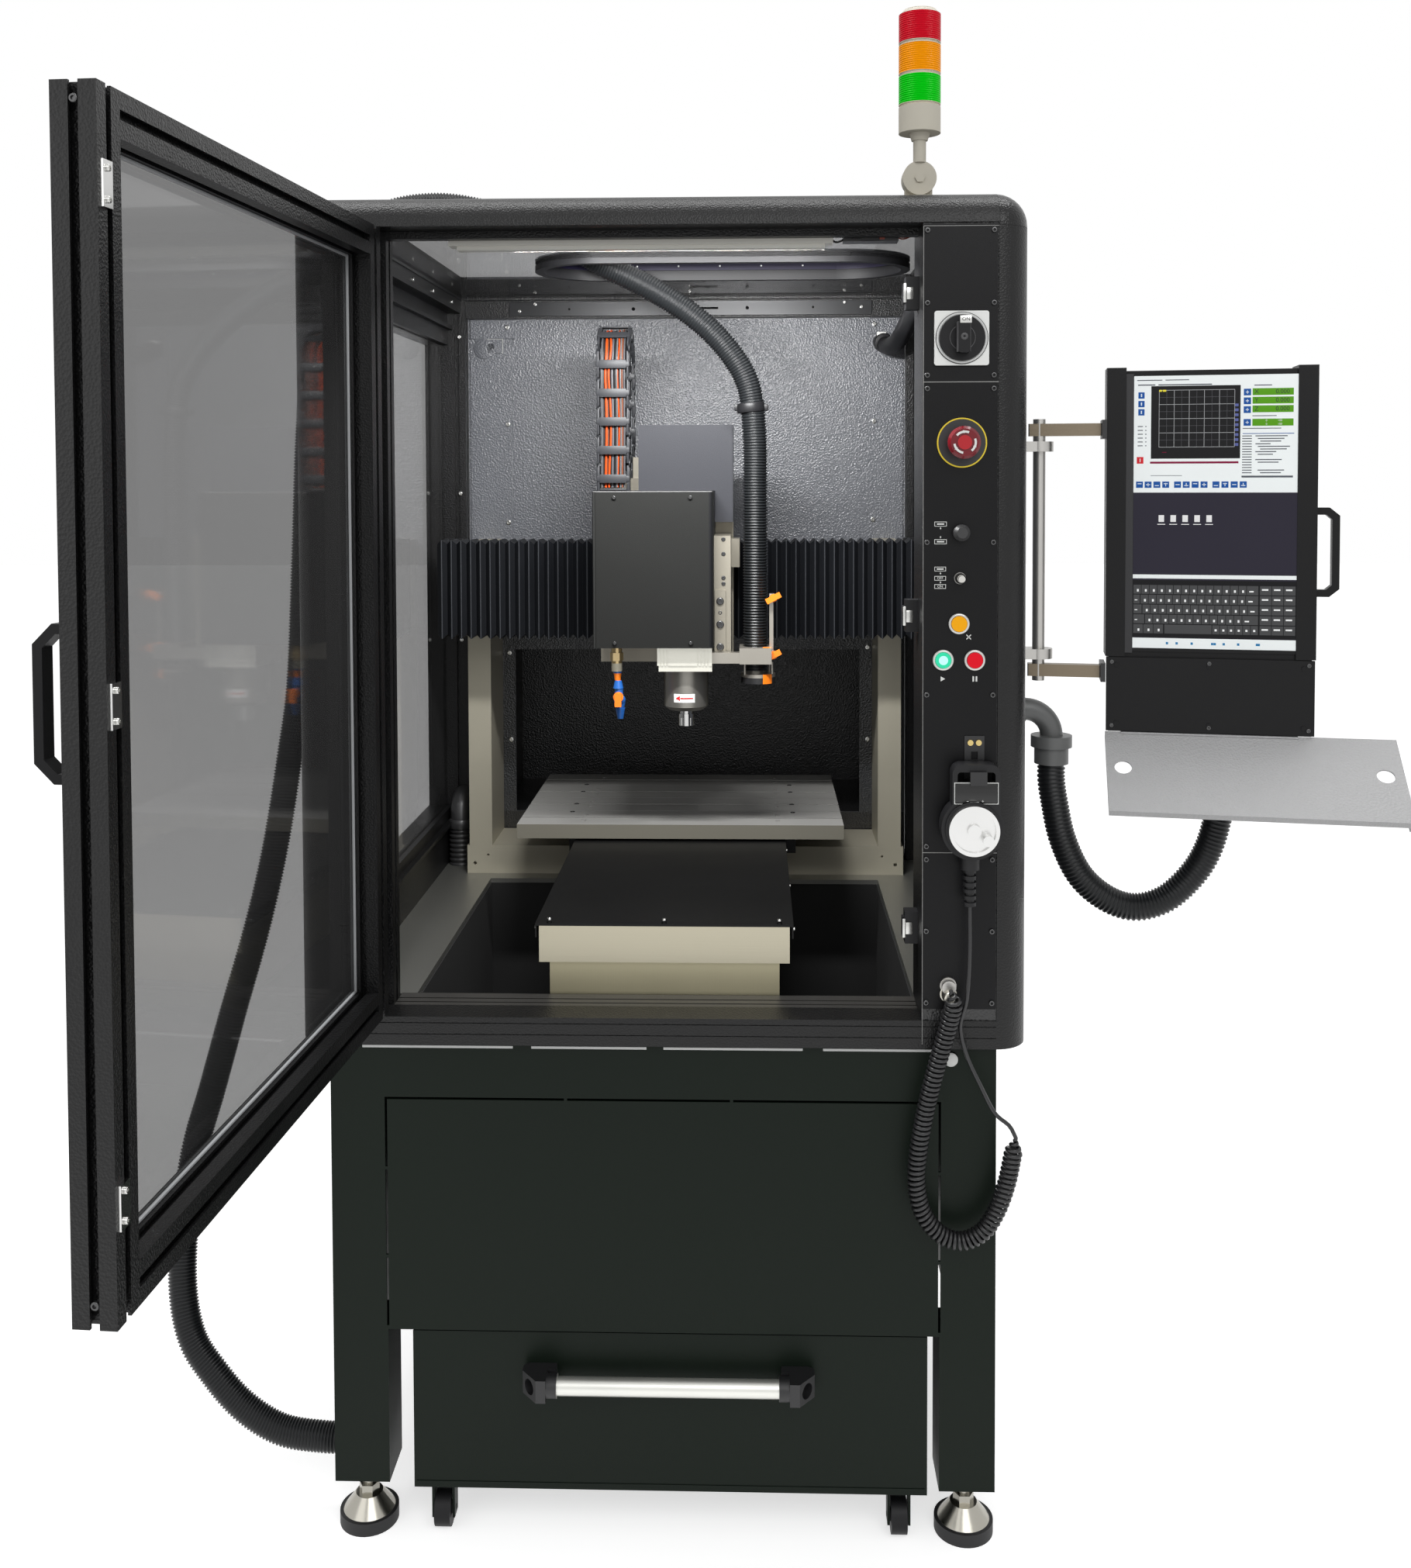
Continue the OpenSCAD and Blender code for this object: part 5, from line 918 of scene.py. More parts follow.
def carried_frames(route: Sequence[Vector]) -> list[tuple[Vector, Vector]]:
    """Gives two directions across a route at each point, without twist."""
    frames: list[tuple[Vector, Vector]] = []
    side = FIRST_SIDE
    for i in range(len(route)):
        along = (route[min(i + 1, len(route) - 1)] - route[max(i - 1, 0)]).normalized()
        side = (side - along * side.dot(along)).normalized()
        frames.append((side, along.cross(side)))
    return frames


def route_length(route: Sequence[Vector]) -> float:
    """Measures a route in metres."""
    return sum((b - a).length for a, b in zip(route, route[1:]))


def round_line(name: str, path: Sequence[Vector], size: float, roundness: int) -> bpy.types.Object:
    """Adds a round line along a path.

    Args:
        name: The piece's name.
        path: Its points in the frame, in metres.
        size: Its diameter in millimetres.
        roundness: The steps in each quarter of its section.

    Returns:
        The line, still a curve.
    """
    curve = bpy.data.curves.new(name, "CURVE")
    curve.dimensions = "3D"
    curve.bevel_depth = size / 2 * MM
    curve.bevel_resolution = roundness
    curve.use_fill_caps = True
    spline = curve.splines.new("POLY")
    spline.points.add(len(path) - 1)
    for point, place in zip(spline.points, path):
        point.co = (*place, 1)
    spline.use_smooth = True
    piece = bpy.data.objects.new(name, curve)
    bpy.context.collection.objects.link(piece)
    return piece


@dataclass
class CorrugatedHose:
    """A corrugated tube along a route, made of narrow ribs."""

    name: str
    replaces: str
    route: Sequence[Point]
    diameter: float
    pitch: float
    finish: Finish
    moved_by: Body
    still: Point
    carried: Point
    sides: int = 20
    depth: float = 1.9

    def build(self) -> bpy.types.Object:
        path = smooth_route(self.route, self.pitch / 4)
        frames = carried_frames(path)
        ridge = self.diameter / 2
        groove = ridge - self.depth
        radii = (ridge, ridge, groove, groove)
        points: list[Vector] = []
        for i, (middle, (u, v)) in enumerate(zip(path, frames)):
            radius = radii[i % 4] * MM
            for k in range(self.sides):
                angle = 2 * math.pi * k / self.sides
                points.append(middle + u * (math.cos(angle) * radius) + v * (math.sin(angle) * radius))
        n = self.sides
        faces = [(i * n + k, i * n + (k + 1) % n, (i + 1) * n + (k + 1) % n, (i + 1) * n + k)
                 for i in range(len(path) - 1) for k in range(n)]
        faces += [tuple(reversed(range(n))), tuple((len(path) - 1) * n + k for k in range(n))]
        mesh = bpy.data.meshes.new(self.name)
        mesh.from_pydata(points, [], faces)
        piece = bpy.data.objects.new(self.name, mesh)
        bpy.context.collection.objects.link(piece)
        for face in mesh.polygons:
            face.use_smooth = True
        dress(piece, self.finish)
        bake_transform(piece)
        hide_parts(self.replaces)
        route_length(path)
        path[::4] + [path[-1]]
        LOG.info("%s bends with %s", self.name, self.moved_by.value)
        return piece


@dataclass
class CurlyCord:
    """The pendant's cord: a curly run and a straight lead of one wire."""

    coil: Sequence[Point]
    lead: Sequence[Point]
    wire: float = 5.0
    outer: float = 23.0
    pitch: float = 6.2
    per_turn: int = 14
    ease_turns: int = 3
    lead_step: float = 6.0

    def build(self) -> bpy.types.Object:
        axis = smooth_route(self.coil, self.pitch / self.per_turn)
        frames = carried_frames(axis)
        radius = (self.outer - self.wire) / 2 * MM
        ease = self.ease_turns * self.per_turn
        wound: list[Vector] = []
        for i, (middle, (u, v)) in enumerate(zip(axis, frames)):
            share = min(1.0, i / ease, (len(axis) - 1 - i) / ease)
            angle = 2 * math.pi * i / self.per_turn
            reach = radius * (share * share * (3 - 2 * share))
            wound.append(middle + u * (math.cos(angle) * reach) + v * (math.sin(angle) * reach))
        lead = smooth_route(self.lead, self.lead_step)
        path = wound + lead[1:]
        piece = round_line("pendant_wire", path, self.wire, 2)
        finish = Finish("cord_black", (0.011, 0.011, 0.012), 0.34, slot="rubber_black")
        dress(piece, finish, Body.MACHINE)
        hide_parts("pendant_cord")
        route_length(path)
        return piece


DUST_ROUTE: list[Point] = [
    (119, 450, 1040), (119, 450, 1180), (119, 450, 1310), (118, 450, 1400), (108, 450, 1472),
    (76, 450, 1526), (29, 450, 1572), (-35, 450, 1614), (-105, 452, 1650), (-180, 455, 1692),
    (-270, 455, 1728), (-360, 445, 1742), (-440, 425, 1722), (-495, 395, 1660), (-518, 360, 1560),
    (-524, 330, 1400), (-528, 312, 1200), (-533, 300, 1040), (-541, 278, 940), (-554, 250, 819),
    (-573, 225, 712), (-600, 200, 600), (-623, 180, 502), (-640, 162, 430), (-645, 135, 350),
    (-640, 108, 270), (-622, 90, 210), (-588, 78, 168), (-545, 68, 130), (-495, 62, 105),
    (-440, 60, 98), (-403, 60, 98)]
CONDUIT_ROUTE: list[Point] = [
    (505, 150, 957), (505, 150, 935), (509, 150, 907), (520, 150, 857), (543, 150, 809),
    (577, 149, 779), (614, 147, 768), (652, 143, 780), (684, 137, 812), (704, 131, 850),
    (716, 127, 900), (721, 124, 955), (721, 124, 1001.5)]
COIL_ROUTE: list[Point] = [
    (351, -26.3, 716), (355, -25.4, 700), (349, -20, 669), (340, -17, 635), (330, -15, 596),
    (321, -14, 555), (314, -14, 511), (312, -14, 474), (320, -14, 437), (340, -14, 412),
    (366, -14, 403), (392, -14, 415), (409, -14, 441), (421, -14, 475), (428, -14, 509),
    (432, -14, 531)]
LEAD_ROUTE: list[Point] = [
    (432, -14, 531), (424, -14, 546), (406, -14, 562), (388, -13, 597), (372, -14, 633),
    (364, -18, 669), (371, -24, 706), (374, -24, 760), (374, -22, 819)]


# ---- fittings of the sub-assemblies -----------------------------------------

SCREW_BRIGHT = Finish("screw_bright", (0.58, 0.58, 0.56), 0.22, 1.0, slot="chromed")
SCREW_BLACK = Finish("screw_black", (0.085, 0.085, 0.086), 0.26, 0.8, slot="cover_black")
PRINT_WHITE = Finish("print_white", (0.72, 0.73, 0.71), 0.5, slot="plastic_grey")
# Light grey for thin lines along the edges of plates and covers: a painted highlight.
EDGE_HIGHLIGHT_GREY = Finish("edge_highlight_grey", (0.30, 0.30, 0.29), 0.5, slot="plastic_grey")
PRINT_RED = Finish("print_red", (0.60, 0.01, 0.015), 0.5, slot="red")
SATIN_DARK = Finish("part_black", (0.009, 0.009, 0.010), 0.42, 0.0, Grain.MOULDED, sheen=0.25,
                    slot="plastic_black")
FRONT: Point = (0, -1, 0)


@dataclass
class Assembly:
    """A group of fittings that ride on one body of the machine."""

    body: Body = Body.MACHINE
    place: Place = MAIN

    def bench(self) -> Bench:
        """Gives a clear bench in this group's place."""
        return Bench(self.place)

    def fit(self, bench: Bench, name: str, finish: Finish) -> bpy.types.Object:
        """Joins what the bench holds, and lets it ride on the group's body."""
        return dress(bench.join(name), finish, self.body)

    def fasten(self, name: str, places: Iterable[Point], facing: Point, size: float, finish: Finish) -> None:
        """Puts one kind of socket screw at each place."""
        dress(self.bench().screws(name, places, facing, size), finish, self.body)


@dataclass
class OperatorColumn(Assembly):
    """Screws, printed marks, painted edge highlights and switch details on the operator column's face."""

    panel: float = -1.1
    edges: Span = (324.5, 404.0)
    rows: tuple[float, ...] = (692, 780, 868, 884, 1068.7, 1253.3, 1438, 1454, 1540.5, 1627)
    isolator: tuple[float, float] = (365.0, 1498.0)
    stop: tuple[float, float] = STOP_AT
    keys: tuple[tuple[float, float], ...] = ((363, 1155), (344, 1111), (382, 1111))

    def build(self) -> None:
        """Builds every detail of the column."""
        self.fasten("column_screws", [(x, self.panel, z) for x in self.edges for z in self.rows], FRONT, 6.6,
                    SCREW_BLACK)
        self.marks()
        self.isolator_switch()
        self.stop_button()
        self.key_rims()

    def marks(self) -> None:
        """Prints the outlined fields, arrows and key symbols, and paints highlights along the plates' edges.
        """
        bench = self.bench()
        front = self.panel
        for z in (1275.3, 1254.0):
            bench.outline((333.5, 348.2, z - 2.9, z + 2.9), front, 0.6)
            bench.tiles([(336.5, 345.2, z - 0.8, z + 0.8)], front, 0.2)
        for z in (1221.0, 1209.8, 1199.9):
            bench.outline((333.6, 347.4, z - 2.7, z + 2.7), front, 0.6)
        bench.tiles([(336.4, 344.6, 1220.2, 1221.8)], front, 0.2)
        bench.words("OFF", (340.5, front, 1209.8), 4.2)
        bench.words("ON", (340.5, front, 1199.9), 4.2)
        for z, angle in ((1270.4, 90), (1259.2, -90), (1216.0, 90), (1204.6, -90)):
            bench.pointer((340.8, front, z), 1.9, angle)
            stem = 1.6 if angle > 0 else -1.6
            bench.tiles([(340.5, 341.1, min(z, z - stem), max(z, z - stem))], front, 0.2)
        bench.pointer((343.2, front, 1088.0), 5.4, 0)
        bench.tiles([(379.6, 381.6, 1084.8, 1091.2), (383.4, 385.4, 1084.8, 1091.2)], front)
        for turn in (45, -45):
            stroke = bench.block((-3.9, 3.9), (front - 0.3, front), (-0.6, 0.6), 0.1, 1)
            stroke.data.transform(self.place.matrix().inverted())
            stroke.data.transform(Matrix.Rotation(math.radians(turn), 4, "Y"))
            stroke.data.transform(self.place.matrix() @ Matrix.Translation(Vector((375.0, 0, 1138.8)) * MM))
        self.fit(bench, "printed_marks", PRINT_WHITE)
        # Thin light lines along the plates' edges: painted highlights.
        bench = self.bench()
        bench.tiles([(319.7, 320.3, 640, 1632), (320, 409.8, 1445.5, 1446.4), (320, 409.8, 875.6, 876.4),
                     (320, 409.8, 1632.0, 1632.6)], front, 0.15)
        self.fit(bench, "plate_edge_highlights", EDGE_HIGHLIGHT_GREY)

    def isolator_switch(self) -> None:
        """Adds the dial's light rim, a painted shadow line round it, and the hub with painted highlights
        along its grip's edges.
        """
        x, z = self.isolator
        bench = self.bench()
        bench.ring((x, -6.0, z), FRONT, 55.2, 61.0, 2.6, 0.7)
        self.fit(bench, "isolator_rim", Finish("switch_rim", (0.62, 0.63, 0.62), 0.4, slot="plastic_grey"))
        bench = self.bench()
        bench.ring((x, -5.9, z), FRONT, 61.0, 62.6, 1.4, 0.2)
        self.fit(bench, "isolator_shadow", SATIN_DARK)
        bench = self.bench()
        bench.ring((x, -12.3, z), FRONT, 29.0, 31.0, 0.8, 0.2)
        # Two thin light bars along the grip's sides: painted highlights.
        bench.block((x - 7.6, x - 6.8), (-28.0, -12.4), (z - 18, z + 18), 0.3, 1)
        bench.block((x + 6.8, x + 7.6), (-28.0, -12.4), (z - 18, z + 18), 0.3, 1)
        bench.ring((x, -28.3, z), FRONT, 3.0, 8.4, 0.5, 0.15)
        hub = bench.join("isolator_hub_and_grip_highlights")
        dress(hub, Finish("hub_grey_and_grip_highlight", (0.050, 0.050, 0.052), 0.35, slot="plastic_black"), Body.ISOLATOR)

    def stop_button(self) -> None:
        """Adds the turning arrows on the emergency-stop button and the plate's thin ring."""
        x, z = self.stop
        arrows = self.bench()
        for start in (20, 140, 260):
            arrows.arc((x, -28.6, z), 12.6, 2.6, start, start + 72)
            tip = math.radians(start + 80)
            arrows.pointer((x + 12.6 * math.cos(tip), -28.6, z + 12.6 * math.sin(tip)), 3.6, start + 80 + 90)
        dress(arrows.join("stop_arrows"), PRINT_WHITE, Body.STOP)
        ring = self.bench()
        ring.ring((x, -3.1, z), FRONT, 57.2, 59.8, 0.25, 0.0)
        self.fit(ring, "stop_ring", Finish("ring_yellow", (0.82, 0.62, 0.03), 0.45, slot="amber"))

    def key_rims(self) -> None:
        """Adds the stepped bright rim of each push-button."""
        bench = self.bench()
        for x, z in self.keys:
            bench.ring((x, -4.6, z), FRONT, 19.4, 23.6, 1.1, 0.4)
        self.fit(bench, "key_rims", SCREW_BRIGHT)


@dataclass
class PendantFittings(Assembly):
    """Label field and print of the hand pendant, and its cord's plug."""

    middle: tuple[float, float] = (376.0, 913.0)

    def build(self) -> None:
        """Builds the label field, its print and the plug."""
        x, z = self.middle
        bench = self.bench()
        bench.block((x - 21.5, x + 29.0), (-36.1, -34.9), (z + 31.0, z + 55.0), 1.4, 2)
        self.fit(bench, "pendant_label", Finish("label_black", (0.006, 0.006, 0.006), 0.18,
                                                slot="plastic_black"))
        bench = self.bench()
        bench.outline((x - 22.5, x + 30.0, z + 30.0, z + 56.0), -35.2, 1.0, 0.5)
        bench.tiles([(x - 8.0, x - 5.5, z + 33.4, z + 34.0), (x + 10.0, x + 12.5, z + 33.4, z + 34.0),
                     (x + 10.9, x + 11.5, z + 32.5, z + 35.0)], -36.1)
        bench.outline((x - 3.5, x + 6.5, z + 29.5, z + 33.0), -36.1, 0.5)
        self.fit(bench, "pendant_print", PRINT_WHITE)
        bench = self.bench()
        bench.sleeve((351.0, -1.2, 704.0), (351.0, -22.0, 704.0), (19, 19, 17, 17, 15.5, 15.5, 13), 0.5)
        bench.ring((351.0, -3.0, 704.0), FRONT, 15.0, 20.5, 3.0, 0.6)
        self.fit(bench, "cord_plug", Finish("plug_nickel", (0.56, 0.54, 0.48), 0.28, 1.0, slot="chromed"))


@dataclass
class ConsoleScreen(Assembly):
    """The console's lit screen, with its plain fields, readouts and keys."""

    body: Body = Body.CONSOLE
    place: Place = CONSOLE
    front: float = -14.0
    left: float = 117.4
    top: float = 1459.0
    share: float = 0.955
    level_step: float = 0.15
    thick: float = 0.2
    glow_share: float = 0.25
    key_top: float = 271.5
    key_step: float = 12.6
    key_high: float = 11.4

    def field(self, x: float, z: float, wide: float, high: float) -> Rect:
        """Gives a field from its left edge and middle height, counted from the screen's left and top."""
        start = self.left + x * self.share
        return (start, start + wide * self.share, self.top - z - high / 2, self.top - z + high / 2)

    def lit(self, name: str, colour: Colour, glow: float, fields: Iterable[Rect], level: float) -> None:
        """Adds lit fields of one colour, each level a little further out."""
        bench = self.bench()
        bench.tiles(fields, self.front - self.level_step * level, self.thick)
        self.fit(bench, name, Finish(name, colour, 0.3, glow=glow * self.glow_share, sheen=0.15,
                                     slot="plastic_grey"))

    def build(self) -> None:
        """Builds the screen's fields from the back to the front."""
        f = self.field
        self.lit("screen_page", (0.86, 0.90, 0.90), 0.35,
                 [f(0, 74, 207, 148), f(0, 255, 207, 5), f(0, 340, 207, 13)], 1)
        self.lit("screen_desk", (0.020, 0.018, 0.029), 0.9, [f(0, 200, 207, 104), f(0, 295.3, 207, 75.6)], 1)
        self.lit("screen_plot", (0.010, 0.010, 0.011), 0.0, [f(22, 59, 113, 92)], 2)
        self.lit("keys_bed", (0.007, 0.007, 0.008), 0.4, [f(0, 296, 207, 73)], 1.5)
        bench = self.bench()
        bench.tiles([(106.4, self.left - 0.3, 1106, 1462)], self.front, 0.2)
        self.fit(bench, "screen_rim", Finish("rim_grey", (0.030, 0.030, 0.032), 0.4, sheen=0.3,
                                             slot="cover_black"))
        self.plot_grid()
        self.readouts()
        self.icons()
        self.keyboard()
        self.text_lines()

    def plot_grid(self) -> None:
        """Draws the plot's grid, its fine lines and its axis marks."""
        f = self.field
        bold = [f(32.2 + 19.1 * i - 0.3, 54.4, 0.6, 72) for i in range(6)]
        bold += [f(32.2, 18.4 + 18 * i, 95.5, 0.6) for i in range(5)]
        fine = [f(32.2 + 19.1 * i + 9.4, 54.4, 0.35, 72) for i in range(5)]
        fine += [f(32.2, 27.4 + 18 * i, 95.5, 0.35) for i in range(4)]
        self.lit("grid_lines", (0.40, 0.41, 0.42), 0.2, bold, 3)
        self.lit("grid_fine", (0.10, 0.10, 0.11), 0.5, fine, 3)
        self.lit("plot_mark", (0.75, 0.65, 0.05), 0.6, [f(32, 19, 3.5, 2.4), f(36.5, 19, 4.5, 2.4)], 4)
        self.lit("plot_text", (0.10, 0.12, 0.32), 0.6, [f(128, 38 + 6.2 * i, 4.5, 3.4) for i in range(9)], 3)
        self.lit("alarm_line", (0.22, 0.008, 0.045), 0.3, [f(21, 110, 112, 2.6), f(36, 97, 6, 1.0)], 2)

    def readouts(self) -> None:
        """Adds the green readouts with their plain numbers."""
        f = self.field
        heights = (21.7, 32.4, 43.2)
        bars = [f(150, z, 51, 8.6) for z in heights] + [f(150, 60, 51, 8.8)]
        self.lit("readout_green", (0.09, 0.30, 0.01), 0.6, bars, 2)
        bench = self.bench()
        for letter, z in zip("XYZ", heights):
            bench.words(letter, (self.left + 148, self.front - 0.5, self.top - z), 7.5)
            bench.words("0.000", (self.left + 179, self.front - 0.5, self.top - z), 7.5)
        self.fit(bench, "readout_numbers", Finish("numbers_dark", (0.004, 0.02, 0.004), 0.5,
                                                  slot="plastic_black"))
        bench = self.bench()
        for z in (57.8, 62.2):
            bench.words("100", (self.left + 176, self.front - 0.5, self.top - z), 3.6)
            bench.words("0", (self.left + 160, self.front - 0.5, self.top - z), 3.6)
        self.fit(bench, "readout_rates", PRINT_WHITE)

    def icons(self) -> None:
        """Adds the blue and white icons."""
        f = self.field
        left, right = (24.6, 35.5, 46), (22, 33, 44, 60)
        side = [f(5.5, z, 8, 8) for z in left] + [f(139, z, 9, 8.4) for z in right]
        row = (7.7, 18.7, 30, 41.3, 56.4, 67.4, 78.7, 90, 105, 116.4, 128, 139.3)
        side += [f(x - 4.4, 138, 8.8, 8) for x in row]
        self.lit("icons_blue", (0.012, 0.085, 0.33), 0.4, side, 2)
        marks = [f(8.7, z, 1.6, 4) for z in left] + [f(141.5, z, 4, 0.9) for z in right]
        marks += [f(143.1, z, 0.9, 4) for z in right]
        marks += [f(x - 2.6, 138 + (i % 3 - 1) * 1.2, 5.2, 1.0) for i, x in enumerate(row)]
        marks += [f(x - 0.5, 138, 1.0, 4.2) for x in row[1::2]]
        self.lit("icon_marks", (0.70, 0.75, 0.80), 0.4, marks, 3)
        self.lit("icon_stop", (0.60, 0.02, 0.03), 0.5, [f(4, 107, 8.5, 8.5)], 2)
        self.lit("icon_stop_mark", (0.80, 0.75, 0.75), 0.4, [f(7.6, 107, 1.2, 4.6)], 3)
        files = [f(36 + 15.2 * i - 3.5, 181, 7, 8.6) for i in range(5)]
        files += [f(36 + 15.2 * i - 5, 188.4, 10, 1.0) for i in range(5)]
        self.lit("icons_white", (0.80, 0.80, 0.80), 0.35, files, 2)

    def keyboard(self) -> None:
        """Lays the on-screen keys in rows, each with a light mark."""
        f = self.field
        keys: list[Rect] = []
        marks: list[Rect] = []
        rows = ((0, 10.3, 14), (5, 10.3, 13), (7.5, 10.3, 13), (11, 10.3, 12), (0, 13, 3))
        for i, (lead, pitch, count) in enumerate(rows):
            z = self.key_top + self.key_step * i
            if lead:
                keys.append(f(1, z, lead + 3, self.key_high))
                marks.append(f(2.5, z + 1, 3.5, 1.1))
            for k in range(count):
                x = 1 + (lead + 4.2 if lead else 0) + pitch * k
                if x + pitch < 155 and i < 4 or x < 38:
                    end = x + pitch
                    keys.append(f(x, z, pitch - 0.8, self.key_high))
                    marks.append(f(x + pitch * 0.42, z + 1.4, 2.4, 3.2))
            if i < 4:
                keys.append(f(end, z, 159.4 - end, self.key_high))
                marks.append(f(end + 3, z + 1.4, 5.5, 1.8))
        keys += [f(41, 321.9, 60, self.key_high)]
        keys += [f(102 + 9.7 * k, 321.9, 8.9, self.key_high) for k in range(6)]
        marks += [f(105 + 9.7 * k, 322.5, 2.6, 2.6) for k in range(6)]
        for k in range(3):
            for i in range(5):
                keys.append(f(161.6 + 15 * k, self.key_top + self.key_step * i, 14.2, self.key_high))
                marks.append(f(164 + 15 * k, 270.5 + self.key_step * i, 8.0, 2.0))
        self.lit("screen_keys", (0.060, 0.061, 0.063), 0.6, keys, 2)
        self.lit("key_marks", (0.80, 0.81, 0.81), 0.6, marks, 3)

    def text_lines(self) -> None:
        """Adds the fine text as plain grey strokes."""
        f = self.field
        lines = [f(4, 5.5, 32, 1.1), f(40, 5.5, 30, 1.1), f(5, 11.5, 22, 1.4), f(31, 11.5, 68, 1.4),
                 f(152, 13.5, 22, 1.2), f(138, 67.5, 48, 1.0), f(150, 51.8, 30, 1.0), f(22, 126.5, 40, 0.6)]
        lines += [f(x, 64 + 4.9 * i, wide, 1.1) for x, wide in ((5, 6.5), (14.5, 1.8)) for i in range(6)]
        lines += [f(137.5, 77 + 3.3 * i, 12, 1.1) for i in range(15)]
        lines += [f(154 + 3 * (i % 3), 77 + 3.3 * i, 40 - 7 * (i % 4), 1.2)
                  for i in range(15) if i not in (8, 11, 12)]
        lines += [f(137, 128, 64, 2.4)]
        self.lit("screen_text", (0.10, 0.11, 0.13), 0.0, lines, 2)
        self.lit("list_line", (0.02, 0.10, 0.34), 0.0, [f(138, 74, 64, 0.9)], 2)
        dots = [f(43 + 3.4 * (i * i % 17) + 9 * i, 340, 3.0, 3.0) for i in range(9)]
        self.lit("bar_dots", (0.03, 0.20, 0.42), 0.4, dots, 2)


@dataclass
class BackWall(Assembly):
    """Fittings on the back wall and along the rails under the roof."""

    sheet: float = 795.0

    def build(self) -> None:
        """Builds the wall's fittings."""
        wall = Finish("wall_plate", (0.090, 0.094, 0.105), 0.30, 0.0, Grain.HAMMERED, sheen=0.6,
                      slot="panel_grey")
        bench = self.bench()
        bench.block((-316.5, -304), (795.1, 798.1), (1068, 1596), 0.4, 1)
        bench.block((-376, -298), (793.6, 795.2), (1572, 1605.5), 0.8, 1)
        bench.block((318, 376), (793.6, 795.2), (1577, 1605.5), 0.8, 1)
        self.fit(bench, "wall_strips", wall)
        bench = self.bench()
        bench.rod((-351, 795.1, 1556), (-351, 792.6, 1556), 37, 40, 0.6)
        bench.block((-346, -319), (792.6, 795.1), (1547, 1565), 0.6, 1)
        self.fit(bench, "keyhole_cover", wall)
        # Light lines along the keyhole cover's right and top edges: painted highlights.
        bench = self.bench()
        bench.block((-319.6, -318.4), (792.4, 795.1), (1546, 1572), 0.2, 1)
        bench.block((-346, -319), (792.4, 795.1), (1571.2, 1572.2), 0.2, 1)
        self.fit(bench, "keyhole_edge_highlight", EDGE_HIGHLIGHT_GREY)
        upper = [(x, self.sheet, z) for x, z in ((-310.5, 1424), (-310.5, 1253), (326, 1427), (324, 1257))]
        upper += [(-310.5, 793.6, 1592), (326, 793.6, 1594)]
        lower = [(x, 796.0, z) for x, z in ((-311, 1024), (-309, 871), (315, 1034), (315, 873))]
        self.fasten("wall_screws", upper + lower, FRONT, 8.4, SCREW_BRIGHT)
        self.fasten("post_screws", [(-390, 770.0, z) for z in (1574, 1304, 1050)], FRONT, 7.0, SCREW_BRIGHT)
        self.roof_rail()
        self.side_rails()
        self.slot_lining()
        self.duct()

    def roof_rail(self) -> None:
        """Adds the slotted rail behind the roof pane."""
        bench = self.bench()
        bench.block((-304, 321), (775.6, 778.1), (1609, 1634), 0.6, 1)
        self.fit(bench, "roof_rail", Finish("rail_black", (0.012, 0.0125, 0.014), 0.32, 0.3, sheen=0.5,
                                            slot="cover_black"))
        # A flat black slot and flat black discs stand in for the rail's holes: painted shade.
        bench = self.bench()
        bench.tiles([(9, 57, 1619.8, 1623.2)], 775.5, 0.2)
        for x, z, size in ((107, 1621.5, 6), (-89, 1620.5, 6), (33, 1613.0, 4.5), (-200, 1621, 4),
                           (220, 1622, 4)):
            bench.rod((x, 775.6, z), (x, 775.2, z), size, 20)
        self.fit(bench, "rail_holes", Finish("hole_shade_black", (0.001, 0.001, 0.001), 0.8, sheen=0.1,
                                             slot="chute_black"))
        places = ((-286, 1618), (303, 1622), (-259, 1630), (8, 1630), (274, 1630))
        self.fasten("rail_screws", [(x, 775.6, z) for x, z in places], FRONT, 6.0, SCREW_BRIGHT)

    def slot_lining(self) -> None:
        """Adds the standing strip along the roof slot's rear edge."""
        bench = self.bench()
        low, high = 1647.0, 1659.5
        bench.block((-101, 243), (483.2, 484.4), (low, high), 0.3, 1)
        for x, start in ((-101, 180), (243, 90)):
            bench.band((x, 396, (low + high) / 2), 87.3, high - low, start, start + 90, 1.2)
        self.fit(bench, "slot_lining", Finish("lining_violet", (0.012, 0.010, 0.026), 0.4, sheen=0.2,
                                              slot="rubber_black"))
        bench = self.bench()
        for x in (-60, 3, 66, 129, 192):
            bench.rod((x, 483.2, 1653), (x, 482.4, 1653), 2.6, 16)
        self.fit(bench, "lining_dots", PRINT_WHITE)

    def side_rails(self) -> None:
        """Adds the screws along the left wall's rails."""
        inward = (1.0, 0.0, 0.0)
        places = [(-386.9, y, 1625.0) for y in (120, 255, 400, 540, 690)]
        places += [(-408.9, y, 739.0) for y in (210, 380, 550, 700)]
        places += [(-408.9, y, 1589.0) for y in (210, 380, 550, 700)]
        self.fasten("side_rail_screws", places, inward, 6.2, SCREW_BRIGHT)

